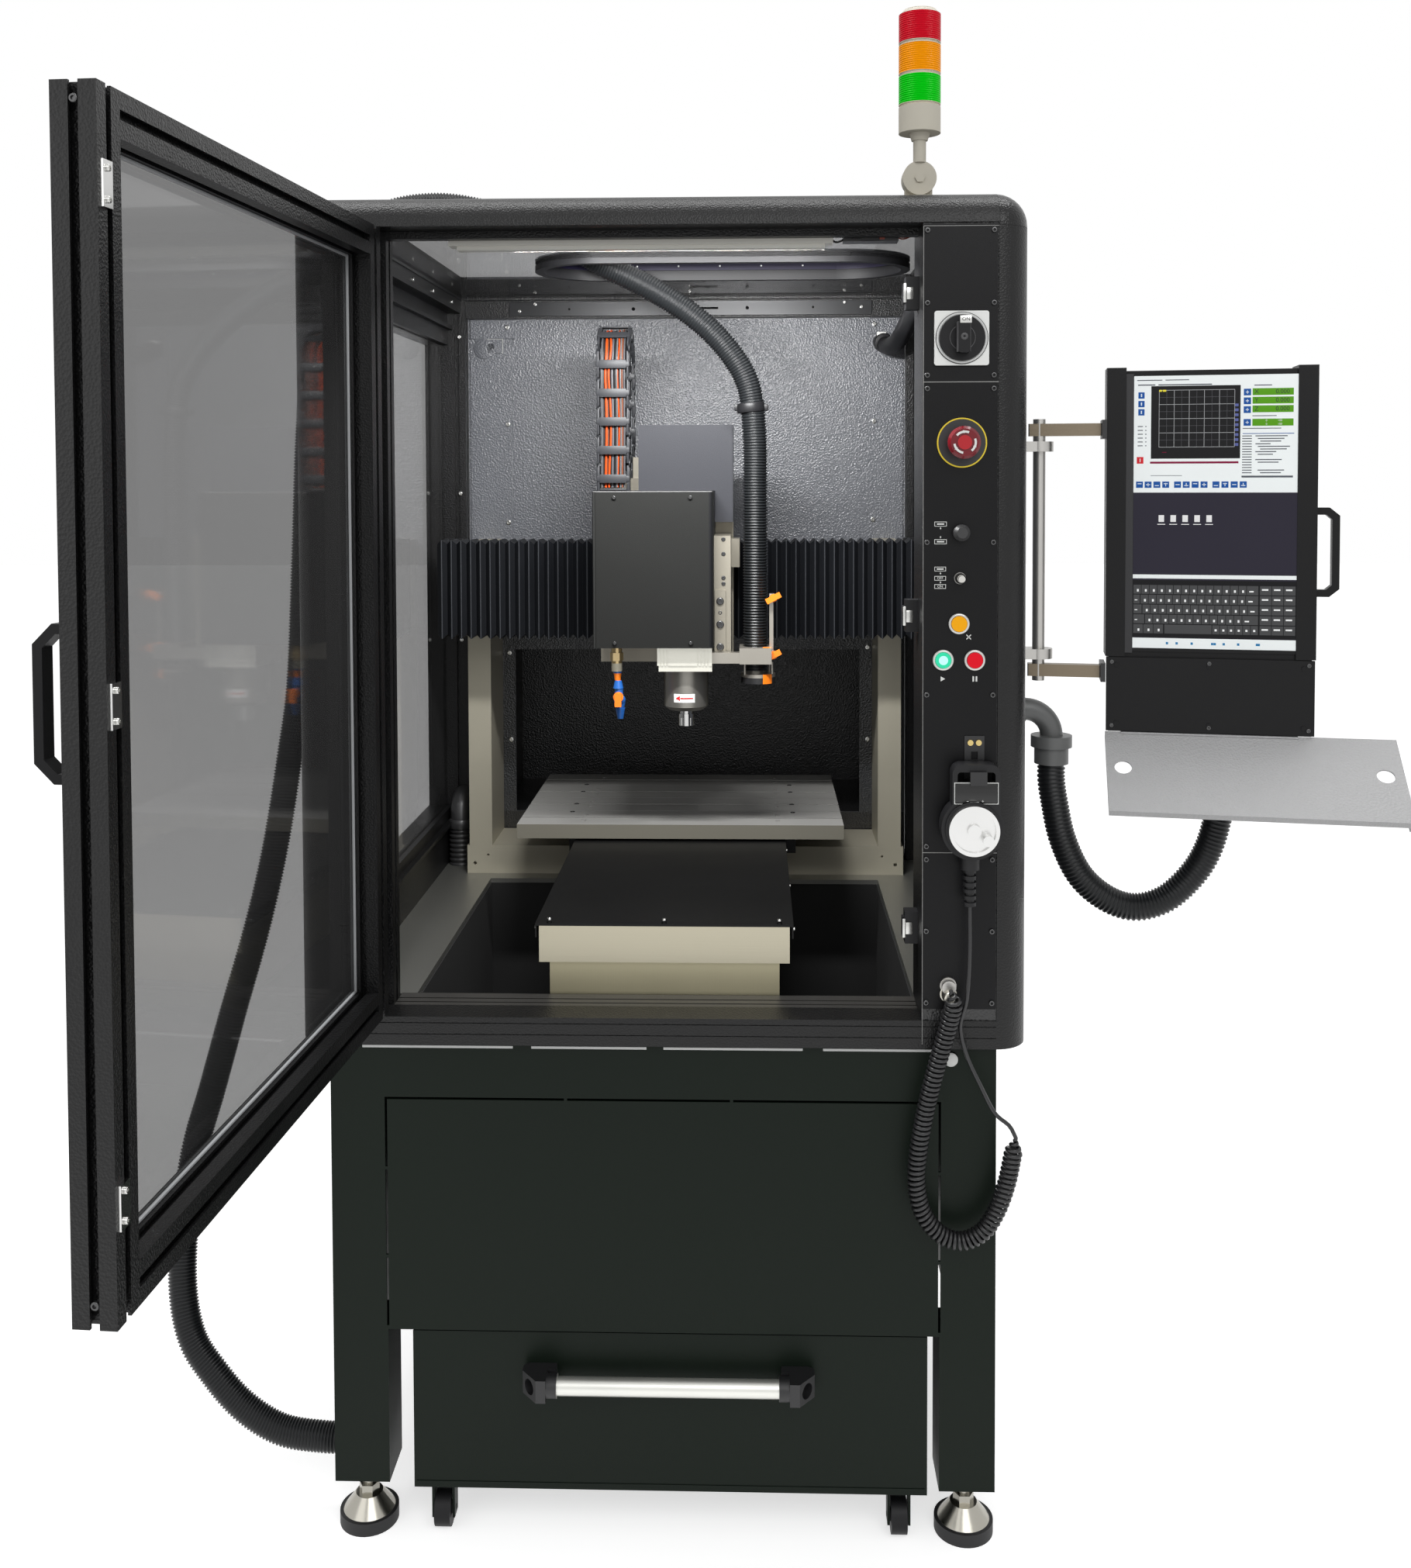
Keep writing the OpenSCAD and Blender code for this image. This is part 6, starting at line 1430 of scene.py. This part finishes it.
    def duct(self) -> None:
        """Adds the rigid cable duct from the back wall to the operator column."""
        bench = self.bench()
        bench.wire([(342, 796, 1563), (345, 776, 1556), (352, 750, 1553), (360, 705, 1560), (367, 640, 1578),
                    (367, 540, 1588), (365, 400, 1590), (360, 240, 1590), (356, 140, 1590),
                    (355, 92, 1590)], 30, 5)
        self.fit(bench, "cable_duct", SATIN_DARK)
        bench = self.bench()
        bench.block((330, 351), (781, 795.4), (1549, 1563.2), 1.2, 2)
        bench.sleeve((341, 795.5, 1563), (342, 777, 1560), (34, 34, 33, 33, 31), 0.5)
        self.fit(bench, "duct_fitting", SATIN_DARK)
        bench = self.bench()
        bench.block((330, 346), (783, 795.4), (1563.2, 1580), 1.0, 2)
        self.fit(bench, "duct_tag", Finish("fitting_white", (0.66, 0.66, 0.64), 0.4, slot="plastic_grey"))


@dataclass
class LampConnector(Assembly):
    """Wires and plug of the lamp bar."""

    def build(self) -> None:
        """Builds the plug and its wires."""
        bench = self.bench()
        bench.wire([(214, 74, 1628), (219, 73, 1625), (224, 72, 1625.5), (229, 72, 1628)], 2.6, 2)
        bench.block((250, 272), (57, 60.3), (1624.6, 1635), 0.8, 2)
        bench.block((238, 248), (58, 60.3), (1626, 1634), 0.6, 1)
        self.fit(bench, "lamp_plug", SATIN_DARK)
        bench = self.bench()
        bench.wire([(295.5, 70, 1629.5), (302, 68, 1627.5), (309, 69, 1629.5), (316, 72, 1634)], 1.8, 2)
        bench.wire([(295.5, 74, 1631.5), (303, 73, 1630.5), (310, 74, 1631.5), (317, 77, 1635)], 1.8, 2)
        bench.block((272.2, 279), (57.6, 60.3), (1626, 1633.6), 0.6, 1)
        self.fit(bench, "lamp_wires", Finish("wire_rust", (0.20, 0.035, 0.018), 0.45, slot="red"))


@dataclass
class DoorDetails(Assembly):
    """Pane bead and screws of the door."""

    body: Body = Body.DOOR
    place: Place = DOOR
    opening: Rect = (37.0, 653.0, 712.0, 1598.0)

    def build(self) -> None:
        """Builds the door's bead and screws."""
        x0, x1, z0, z1 = self.opening
        bench = self.bench()
        for x in ((x0 + 0.2, x0 + 3.2), (x1 - 3.2, x1 - 0.2)):
            bench.block(x, (7.1, 10.2), (z0 + 0.2, z1 - 0.2), 0.8, 2)
        for z in ((z0 + 0.2, z0 + 3.2), (z1 - 3.2, z1 - 0.2)):
            bench.block((x0 + 3.1, x1 - 3.1), (7.1, 10.2), z, 0.8, 2)
        self.fit(bench, "pane_bead", Finish("bead_grey", (0.36, 0.37, 0.38), 0.3, sheen=0.6, slot="window"))
        self.fasten("stile_screws", [(687.5, 18.5, z) for z in (1621.0, 694.0)], (1, 0, 0), 7.0, SCREW_BLACK)
        plates = [(680.5, 40.1, z + s) for z in (1558, 1160, 770) for s in (-12, 12)]
        self.fasten("plate_screws", plates, (0, 1, 0), 5.6, SCREW_BRIGHT)


@dataclass
class BedDetails(Assembly):
    """Screws on the bed cover's front and long edges."""

    def build(self) -> None:
        """Builds the bed cover's screws."""
        self.fasten("cover_screws", [(x, 90.0, 764.0) for x in (-148, 0, 148)], (0, 0, 1), 6.0, SCREW_BRIGHT)
        for side in (-1, 1):
            places = [(side * 166.1, y, 751.0) for y in (98, 300, 500)]
            self.fasten(f"cover_edge_screws_{side + 1}", places, (side, 0, 0), 5.0, SCREW_BRIGHT)


@dataclass
class TableDetails(Assembly):
    """Socket screws sunk in the table planks."""

    body: Body = Body.TABLE

    def build(self) -> None:
        """Builds the screws of the four planks."""
        places = [(side * 179.5, y, 783.4) for side in (-1, 1) for y in (607, 666, 762, 820)]
        self.fasten("plank_screws", places, (0, 0, 1), 8.4, SCREW_BLACK)


@dataclass
class CrossSlideDetails(Assembly):
    """Screws of the covers and guide plate, the chain's post and the hose clip."""

    body: Body = Body.CROSS

    def build(self) -> None:
        """Builds the cross slide's screws, post and clip."""
        self.fasten("cover_box_screws", [(x, 398.1, z) for x in (-90, 23) for z in (1086, 1302)], FRONT, 5.2,
                    SCREW_BLACK)
        self.fasten("guide_screws", [(71, 441.2, z) for z in (1238, 1216, 1180, 1171)], FRONT, 6.4,
                    SCREW_BLACK)
        self.fasten("slide_screws", [(66, 438.0, z) for z in (1145, 1110, 1076)], FRONT, 11.5, SCREW_BLACK)
        self.fasten("slide_pins", [(66, 438.0, 1127.5)], FRONT, 6.0, SCREW_BLACK)
        bench = self.bench()
        bench.block((-74, -64), (556, 564), (1311.5, 1363), 0.5, 1)
        self.fit(bench, "chain_post", Finish("post_beige", (0.42, 0.39, 0.32), 0.45, 0.3, Grain.BLASTED,
                                             slot="bright_alu"))
        bench = self.bench()
        bench.sleeve((113.5, 450, 1429), (112.0, 450, 1443), (41.5, 43, 43, 41.5), 0.6)
        bench.block((88, 95), (444, 456), (1431, 1441), 1.2, 2)
        bench.block((131, 139), (444, 456), (1431, 1441), 1.2, 2)
        self.fit(bench, "hose_clip", SATIN_DARK)


@dataclass
class EnergyChain(Assembly):
    """The open energy chain with its cables, in an upright loop over the cross slide."""

    body: Body = Body.CROSS
    middle: float = -99.0
    turn: tuple[float, float] = (547.0, 1505.0)
    radius: float = 52.0
    bottom: float = 1323.0
    pitch: float = 43.9
    first: float = 1329.5
    links: int = 12

    def stand(self, way: float) -> Matrix:
        """Gives the place of the chain's line at a distance from its lower front end."""
        y0, z0 = self.turn
        straight = z0 - self.bottom
        arch = math.pi * self.radius
        if way < straight:
            y, z, angle = y0 - self.radius, self.bottom + way, 0.0
        elif way < straight + arch:
            angle = (way - straight) / self.radius
            y, z = y0 - self.radius * math.cos(angle), z0 + self.radius * math.sin(angle)
        else:
            y, z, angle = y0 + self.radius, z0 - (way - straight - arch), math.pi
        return (self.place.matrix() @ Matrix.Translation(Vector((self.middle, y, z)) * MM)
                @ Matrix.Rotation(-angle, 4, "X"))

    def link(self) -> bpy.types.Object:
        """Models one link about its own middle."""
        bench = self.bench()
        home = self.place.matrix().inverted()
        for side in (-1, 1):
            bench.block((side * 22.6 - 1.7, side * 22.6 + 1.7), (-9.6, 9.6), (-20.5, 20.5), 1.2, 2)
            bench.block((side * 24.6 - 1.2, side * 24.6 + 1.2), (-8.2, 8.2), (-3.0, 17.5), 0.9, 2)
            bench.rod((side * 23.6, 0, -20.0), (side * 25.9, 0, -20.0), 12, 20, 0.5)
        for front in (-1, 1):
            bench.block((-20.9, 20.9), (front * 10.3 - 1.0, front * 10.3 + 1.0), (-6.6, 6.6), 0.7, 2)
            bench.block((-25.3, 25.3), (front * 10.1 - 0.8, front * 10.1 + 0.8), (-4.2, 4.2), 0.6, 2)
        piece = bench.join("chain_link")
        piece.data.transform(home)
        return piece

    def build(self) -> None:
        """Builds the chain's links, their end brackets and the cables."""
        source = self.link()
        bench = self.bench()
        start = self.first - self.bottom
        for i in range(self.links):
            copy = bpy.data.objects.new("chain", source.data.copy())
            bpy.context.collection.objects.link(copy)
            copy.data.transform(self.stand(start + i * self.pitch))
            bench.made.append(copy)
        bpy.data.objects.remove(source)
        for y, z in ((495.0, (1311.5, 1330)), (599.0, (1300, 1330))):
            bench.block((self.middle - 25.5, self.middle - 20.5), (y - 8.5, y + 8.5), z, 1.0, 2)
            bench.block((self.middle + 20.5, self.middle + 25.5), (y - 8.5, y + 8.5), z, 1.0, 2)
        bench.block((self.middle - 25.5, self.middle + 25.5), (589.2, 592.8), (1300, 1342), 0.8, 2)
        bench.block((self.middle - 23, self.middle + 23), (487.5, 532), (1311.3, 1314.5), 0.8, 2)
        chain = self.fit(bench, "chain_links", Finish("chain_grey", (0.022, 0.023, 0.026), 0.45, 0.0,
                                                      Grain.MOULDED, sheen=0.3, slot="plastic_black"))
        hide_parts("cable_chain")
        self.cables()

    def path(self, x: float, reach: float, sway: float) -> list[Point]:
        """Gives one cable's way up, over the arch and down again."""
        y0, z0 = self.turn
        r = self.radius + reach
        way: list[Point] = [(x + sway * math.sin(z / 31), y0 - r, z)
                            for z in (1316, 1352, 1388, 1424, 1460, 1492)]
        for i in range(1, 8):
            angle = math.pi * i / 8
            way.append((x + sway * math.sin(i * 1.3), y0 - r * math.cos(angle), z0 + r * math.sin(angle)))
        way += [(x - sway * math.sin(z / 27), y0 + r, z) for z in (1490, 1440, 1380, 1326)]
        return way

    def cables(self) -> None:
        """Lays the cables side by side."""
        kinds = (
            ("orange_cables", Finish("cable_orange", (0.42, 0.045, 0.004), 0.4, sheen=0.3, slot="amber"),
             ((-11.0, 3.6, 3.6, 2.2), (-5.0, 4.4, 3.2, 4.5), (8.0, 4.2, 2.4, 3.4))),
            ("black_cables",
             Finish("cable_black", (0.010, 0.010, 0.011), 0.4, sheen=0.3, slot="rubber_black"),
             ((-16.0, 1.2, 5.6, 0.8), (3.6, 2.6, 5.4, 1.2), (-7.0, -3.5, 5.8, 1.2),
              (15.6, 1.5, 5.2, 0.8), (8.4, -3.6, 6.0, 1.5), (0.5, -4.0, 4.4, 2.0))),
            ("clear_tubes", Finish("tube_clear", (0.085, 0.088, 0.09), 0.3, slot="plastic_grey"),
             ((11.8, 4.6, 3.0, 1.4), (-13.4, -2.0, 3.6, 1.6), (6.0, 5.6, 2.4, 1.0))),
            ("grey_cables", Finish("cable_grey", (0.055, 0.055, 0.06), 0.4, slot="plastic_grey"),
             ((-1.0, 2.6, 4.2, 1.8), (-17.2, 5.2, 3.0, 0.6), (17.4, 5.2, 2.6, 0.5))),
            ("brown_cables", Finish("cable_brown", (0.13, 0.040, 0.018), 0.4, slot="rubber_black"),
             ((-9.2, -0.6, 3.2, 1.4), (14.4, 5.4, 2.4, 1.2))),
        )
        for name, finish, lines in kinds:
            bench = self.bench()
            for dx, reach, size, sway in lines:
                bench.wire(self.path(self.middle + dx, reach, sway * 0.4), size, 2)
            self.fit(bench, name, finish)


@dataclass
class BaseDetails(Assembly):
    """Bright aluminium strip fronts over the base, painted light to stand in for the highlight along its
    fold, and the plug of its cable hole.
    """

    def build(self) -> None:
        """Builds the strips and the plug."""
        bench = self.bench()
        # Bare aluminium strip fronts, painted bright to stand in for the highlight along the base's fold.
        for x in ((-372, -184), (-161, -18), (3, 175), (200, 335)):
            bench.block(x, (12.3, 13.1), (625.4, 628.6), 0.25, 1)
        self.fit(bench, "strip_fronts_and_fold_highlight", Finish("strip_white_and_fold_highlight", (0.66, 0.67, 0.66), 0.4, slot="bright_alu"))
        bench = self.bench()
        bench.dome((356.5, 13.1, 617), FRONT, 17.4, 2.0)
        self.fit(bench, "hole_plug", PRINT_WHITE)


@dataclass
class PleatedCover(Assembly):
    """One pleated cover of the gantry's ways."""

    name: str = "left_bellows"
    replaces: str = "bellows_left"
    outer: float = -389.0
    inner: float = -125.0
    pleats: int = 17
    front: float = 560.0
    back: float = 619.5
    heights: Span = (1074.0, 1232.0)
    fold: float = 7.0
    thickness: float = 1.0
    edge: float = 0.6

    def build(self) -> None:
        """Folds a sheet into pleats and gives it a thickness."""
        Bench.clear()
        low, high = self.heights
        bpy.ops.mesh.primitive_grid_add(x_subdivisions=2 * self.pleats, y_subdivisions=3, size=1)
        sheet = bpy.context.object
        sheet.name = self.name
        for vertex in sheet.data.vertices:
            step = round((vertex.co.x + 0.5) * 2 * self.pleats)
            row = round((vertex.co.y + 0.5) * 3)
            inset = 0.0 if step % 2 else self.fold
            x = self.outer + (self.inner - self.outer) * step / (2 * self.pleats)
            y = self.back if row in (0, 3) else self.front + inset
            z = low + inset if row < 2 else high - inset
            vertex.co = MAIN.at((x, y, z))
        bpy.ops.object.mode_set(mode="EDIT")
        bpy.ops.mesh.select_all(action="SELECT")
        bpy.ops.mesh.normals_make_consistent(inside=False)
        bpy.ops.object.mode_set(mode="OBJECT")
        solid = sheet.modifiers.new("thickness", "SOLIDIFY")
        solid.thickness = self.thickness * MM
        solid.offset = 0
        rounding = sheet.modifiers.new("edges", "BEVEL")
        rounding.width = self.edge * MM
        rounding.segments = 2
        bpy.ops.object.modifier_apply(modifier="thickness")
        bpy.ops.object.modifier_apply(modifier="edges")
        # The lighter band at the front crests of the pleats is a painted highlight.
        dress(sheet, Finish("bellows", (0.0045, 0.0050, 0.0062), 0.5, 0.0, Grain.MOULDED, sheen=0.12,
                            slot="bellows_black", zones=(Zone((0.032, 0.034, 0.038), y=(550, 560.5)),)))
        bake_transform(sheet)
        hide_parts(self.replaces)
        LOG.info("%s folds with %s", self.name, self.body.value)


@dataclass
class CornerPipe(Assembly):
    """Ribbed pipe with a collar and an elbow at the foot of the rear left post."""

    foot: Point = (-388.0, 735.0, 667.2)
    rise: float = 71.0

    def build(self) -> None:
        """Builds the ribbed run, the collar and the elbow."""
        x, y, z = self.foot
        bench = self.bench()
        ribs = [40.0 if i % 4 < 2 else 36.5 for i in range(36)]
        bench.sleeve((x, y, z), (x, y, z + self.rise), ribs)
        bench.sleeve((x, y, z + self.rise - 8), (x, y, z + self.rise + 7), (43, 43.5, 43.5, 41.5, 38), 0.4)
        elbow = [(y, 4), (y + 0.6, 14), (y + 5, 27), (y + 16, 37), (y + 30, 40), (770.2, 40)]
        bench.wire([(x, back, z + self.rise + high) for back, high in elbow], 36, 6)
        self.fit(bench, "corner_pipe", Finish("pipe_black", (0.020, 0.020, 0.021), 0.34, 0.0, Grain.MOULDED,
                                              slot="plastic_black"))


@dataclass
class SpindleLabel(Assembly):
    """Turning-direction label on the spindle motor."""

    body: Body = Body.SPINDLE_SLIDE
    axis: Point = (13.0, 465.0, 998.5)

    def build(self) -> None:
        """Wraps the white field and its red arrow round the motor."""
        bench = self.bench()
        bench.band(self.axis, 34.05, 13.0, -30, 25)
        self.fit(bench, "spin_label", PRINT_WHITE)
        bench = self.bench()
        bench.band(self.axis, 34.35, 1.8, -12, 20)
        head = bench.pointer((self.axis[0], self.axis[1] - 34.4, self.axis[2]), 6.4, 180)
        bench.spun(head, self.axis, -17)
        self.fit(bench, "spin_arrow", PRINT_RED)


@dataclass
class IsolatorTag(Assembly):
    """Metal tag with the word ON at the top of the isolator's dial."""

    body: Body = Body.ISOLATOR

    def build(self) -> None:
        """Builds the tag and its word."""
        bench = self.bench()
        bench.block((359.8, 373.6), (-29.2, -28.3), (1513.8, 1522.6), 0.5, 2)
        self.fit(bench, "isolator_tag", Finish("tag_steel", (0.60, 0.60, 0.58), 0.25, 1.0, slot="chromed"))
        bench = self.bench()
        bench.words("ON", (366.8, -29.3, 1518.2), 6.0)
        self.fit(bench, "isolator_word", SATIN_DARK)


@dataclass
class CatchTongues(Assembly):
    """Bright tongues on the fronts of the column's three catches."""

    heights: tuple[float, ...] = (1558, 1160, 770)

    def build(self) -> None:
        """Builds the tongues."""
        bench = self.bench()
        for z in self.heights:
            bench.block((301.5, 312.5), (42.5, 44.2), (z - 8, z + 7), 1.0, 2)
            bench.block((300.2, 304.5), (41.6, 44.0), (z - 12, z + 12), 0.8, 2)
        self.fit(bench, "catch_tongues", SCREW_BRIGHT)


@dataclass
class ConsoleScrews(Assembly):
    """Screws of the console's lower plate and side rails."""

    body: Body = Body.CONSOLE
    place: Place = CONSOLE

    def build(self) -> None:
        """Builds the screws."""
        lower = [(x, -14.0, z) for x in (92, 211.5, 331) for z in (1012, 1094)]
        self.fasten("console_screws", lower, FRONT, 5.6, SCREW_BLACK)


# ---- stage ------------------------------------------------------------------


@dataclass
class Studio:
    """Camera, floor and lights."""

    eye: Point = (112.2, -1811.9, 1336.9)
    lens: float = 34.39
    turn: float = 1.73
    dip: float = 2.06
    roll: float = -0.18
    shift: float = -0.1636
    floor_glow: float = 0.62
    room_light: float = 0.55

    def camera(self) -> None:
        """Sets the camera."""
        data = bpy.data.cameras.new("camera")
        data.lens = self.lens
        data.shift_y = self.shift
        camera = bpy.data.objects.new("camera", data)
        turn = (Matrix.Rotation(math.radians(self.turn), 4, "Z")
                @ Matrix.Rotation(math.radians(90 - self.dip), 4, "X")
                @ Matrix.Rotation(math.radians(self.roll), 4, "Z"))
        camera.matrix_world = Matrix.Translation(MAIN.at(self.eye)) @ turn
        bpy.context.collection.objects.link(camera)
        bpy.context.scene.camera = camera

    @staticmethod
    def seen(tree: bpy.types.NodeTree, low: float, high: float) -> bpy.types.NodeSocket:
        """Gives one strength for light on the machine and another for what is seen straight or mirrored."""
        path = tree.nodes.new("ShaderNodeLightPath")
        seen = path.outputs["Is Camera Ray"]
        for kind in ("Is Glossy Ray", "Is Transmission Ray"):
            most = tree.nodes.new("ShaderNodeMath")
            most.operation = "MAXIMUM"
            tree.links.new(seen, most.inputs[0])
            tree.links.new(path.outputs[kind], most.inputs[1])
            seen = most.outputs[0]
        strength = tree.nodes.new("ShaderNodeMapRange")
        strength.inputs["To Min"].default_value = low
        strength.inputs["To Max"].default_value = high
        tree.links.new(seen, strength.inputs["Value"])
        return strength.outputs[0]

    def floor(self) -> None:
        """Lays a pale floor that turns white for the camera."""
        Bench.clear()
        bpy.ops.mesh.primitive_plane_add(size=40, location=(0, 0, 0))
        floor = bpy.context.object
        floor.name = "floor"
        shader = Shader("pale_floor")
        shader.body.inputs["Base Color"].default_value = (0.80, 0.80, 0.80, 1)
        shader.body.inputs["Roughness"].default_value = 0.9
        strength = self.seen(shader.tree, 0.0, self.floor_glow)
        glow = shader.node("ShaderNodeEmission", {}, {0: (1, 1, 1, 1), 1: strength})
        both = shader.node("ShaderNodeAddShader", {}, [shader.body.outputs[0], glow.outputs[0]])
        shader.tree.links.new(both.outputs[0], shader.out.inputs[0])
        floor.data.materials.append(shader.material)

    def world(self) -> None:
        """Lights the room evenly, and shows it white behind the machine."""
        world = bpy.data.worlds.new("room")
        world.use_nodes = True
        tree = world.node_tree
        back = tree.nodes["Background"]
        back.inputs["Color"].default_value = (1, 1, 1, 1)
        tree.links.new(self.seen(tree, self.room_light, 1.0), back.inputs["Strength"])
        bpy.context.scene.world = world

    def lamp(self, name: str, eye: Point, aim: Point, size: tuple[float, float], power: float) -> None:
        """Hangs one soft area lamp, in millimetres."""
        data = bpy.data.lights.new(name, "AREA")
        data.shape = "RECTANGLE"
        data.size, data.size_y = size
        data.energy = power
        lamp = bpy.data.objects.new(name, data)
        lamp.location = MAIN.at(eye)
        lamp.rotation_euler = (MAIN.at(aim) - MAIN.at(eye)).to_track_quat("-Z", "Y").to_euler()
        bpy.context.collection.objects.link(lamp)

    def build(self) -> None:
        """Sets the whole stage."""
        self.camera()
        self.floor()
        self.world()
        self.lamp("key", (900, -2600, 3000), (0, 200, 1100), (2.2, 1.6), 34.0)
        self.lamp("fill", (-1900, -2200, 1900), (0, 200, 1000), (2.0, 2.0), 12.0)
        self.lamp("ceiling", (0, 320, 3600), (0, 300, 1000), (3.2, 0.4), 46.0)
        self.lamp("lamp_bar_light", (15, 74, 1612), (15, 420, 1130), (0.4, 0.04), 14.0)
        bpy.context.scene.view_settings.view_transform = "Standard"


def dress_solids() -> None:
    """Gives every carried-over solid its finish."""
    for name, finish in finishes().items():
        dress(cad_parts[name], finish)


def main() -> None:
    """Builds the dressed machine."""
    logging.basicConfig(level=logging.INFO)
    Studio().build()
    hose = Finish("hose_black", (0.009, 0.010, 0.011), 0.36, sheen=0.28, slot="hose_grey")
    CorrugatedHose("dust_tube", "dust_hose", DUST_ROUTE, 37.0, 4.3, hose, Body.CROSS,
                   (-250, 450, 1600), (96, 450, 1600)).build()
    CorrugatedHose("conduit_tube", "console_conduit", CONDUIT_ROUTE, 36.0, 5.4, hose, Body.CONSOLE,
                   (530, 150, 850), (721, 124, 850)).build()
    CurlyCord(COIL_ROUTE, LEAD_ROUTE).build()
    dress_solids()
    groups = (OperatorColumn(), PendantFittings(), ConsoleScreen(), ConsoleScrews(), BackWall(),
              LampConnector(), DoorDetails(), BedDetails(), TableDetails(), CrossSlideDetails(),
              EnergyChain(), SpindleLabel(), IsolatorTag(), CatchTongues(), BaseDetails(), CornerPipe(),
              PleatedCover(Body.CROSS),
              PleatedCover(Body.CROSS, name="right_bellows", replaces="bellows_right", outer=389.0,
                           inner=85.0, pleats=20))
    for group in groups:
        LOG.info("building %s", type(group).__name__)
        group.build()


if __name__ == "__main__":
    main()
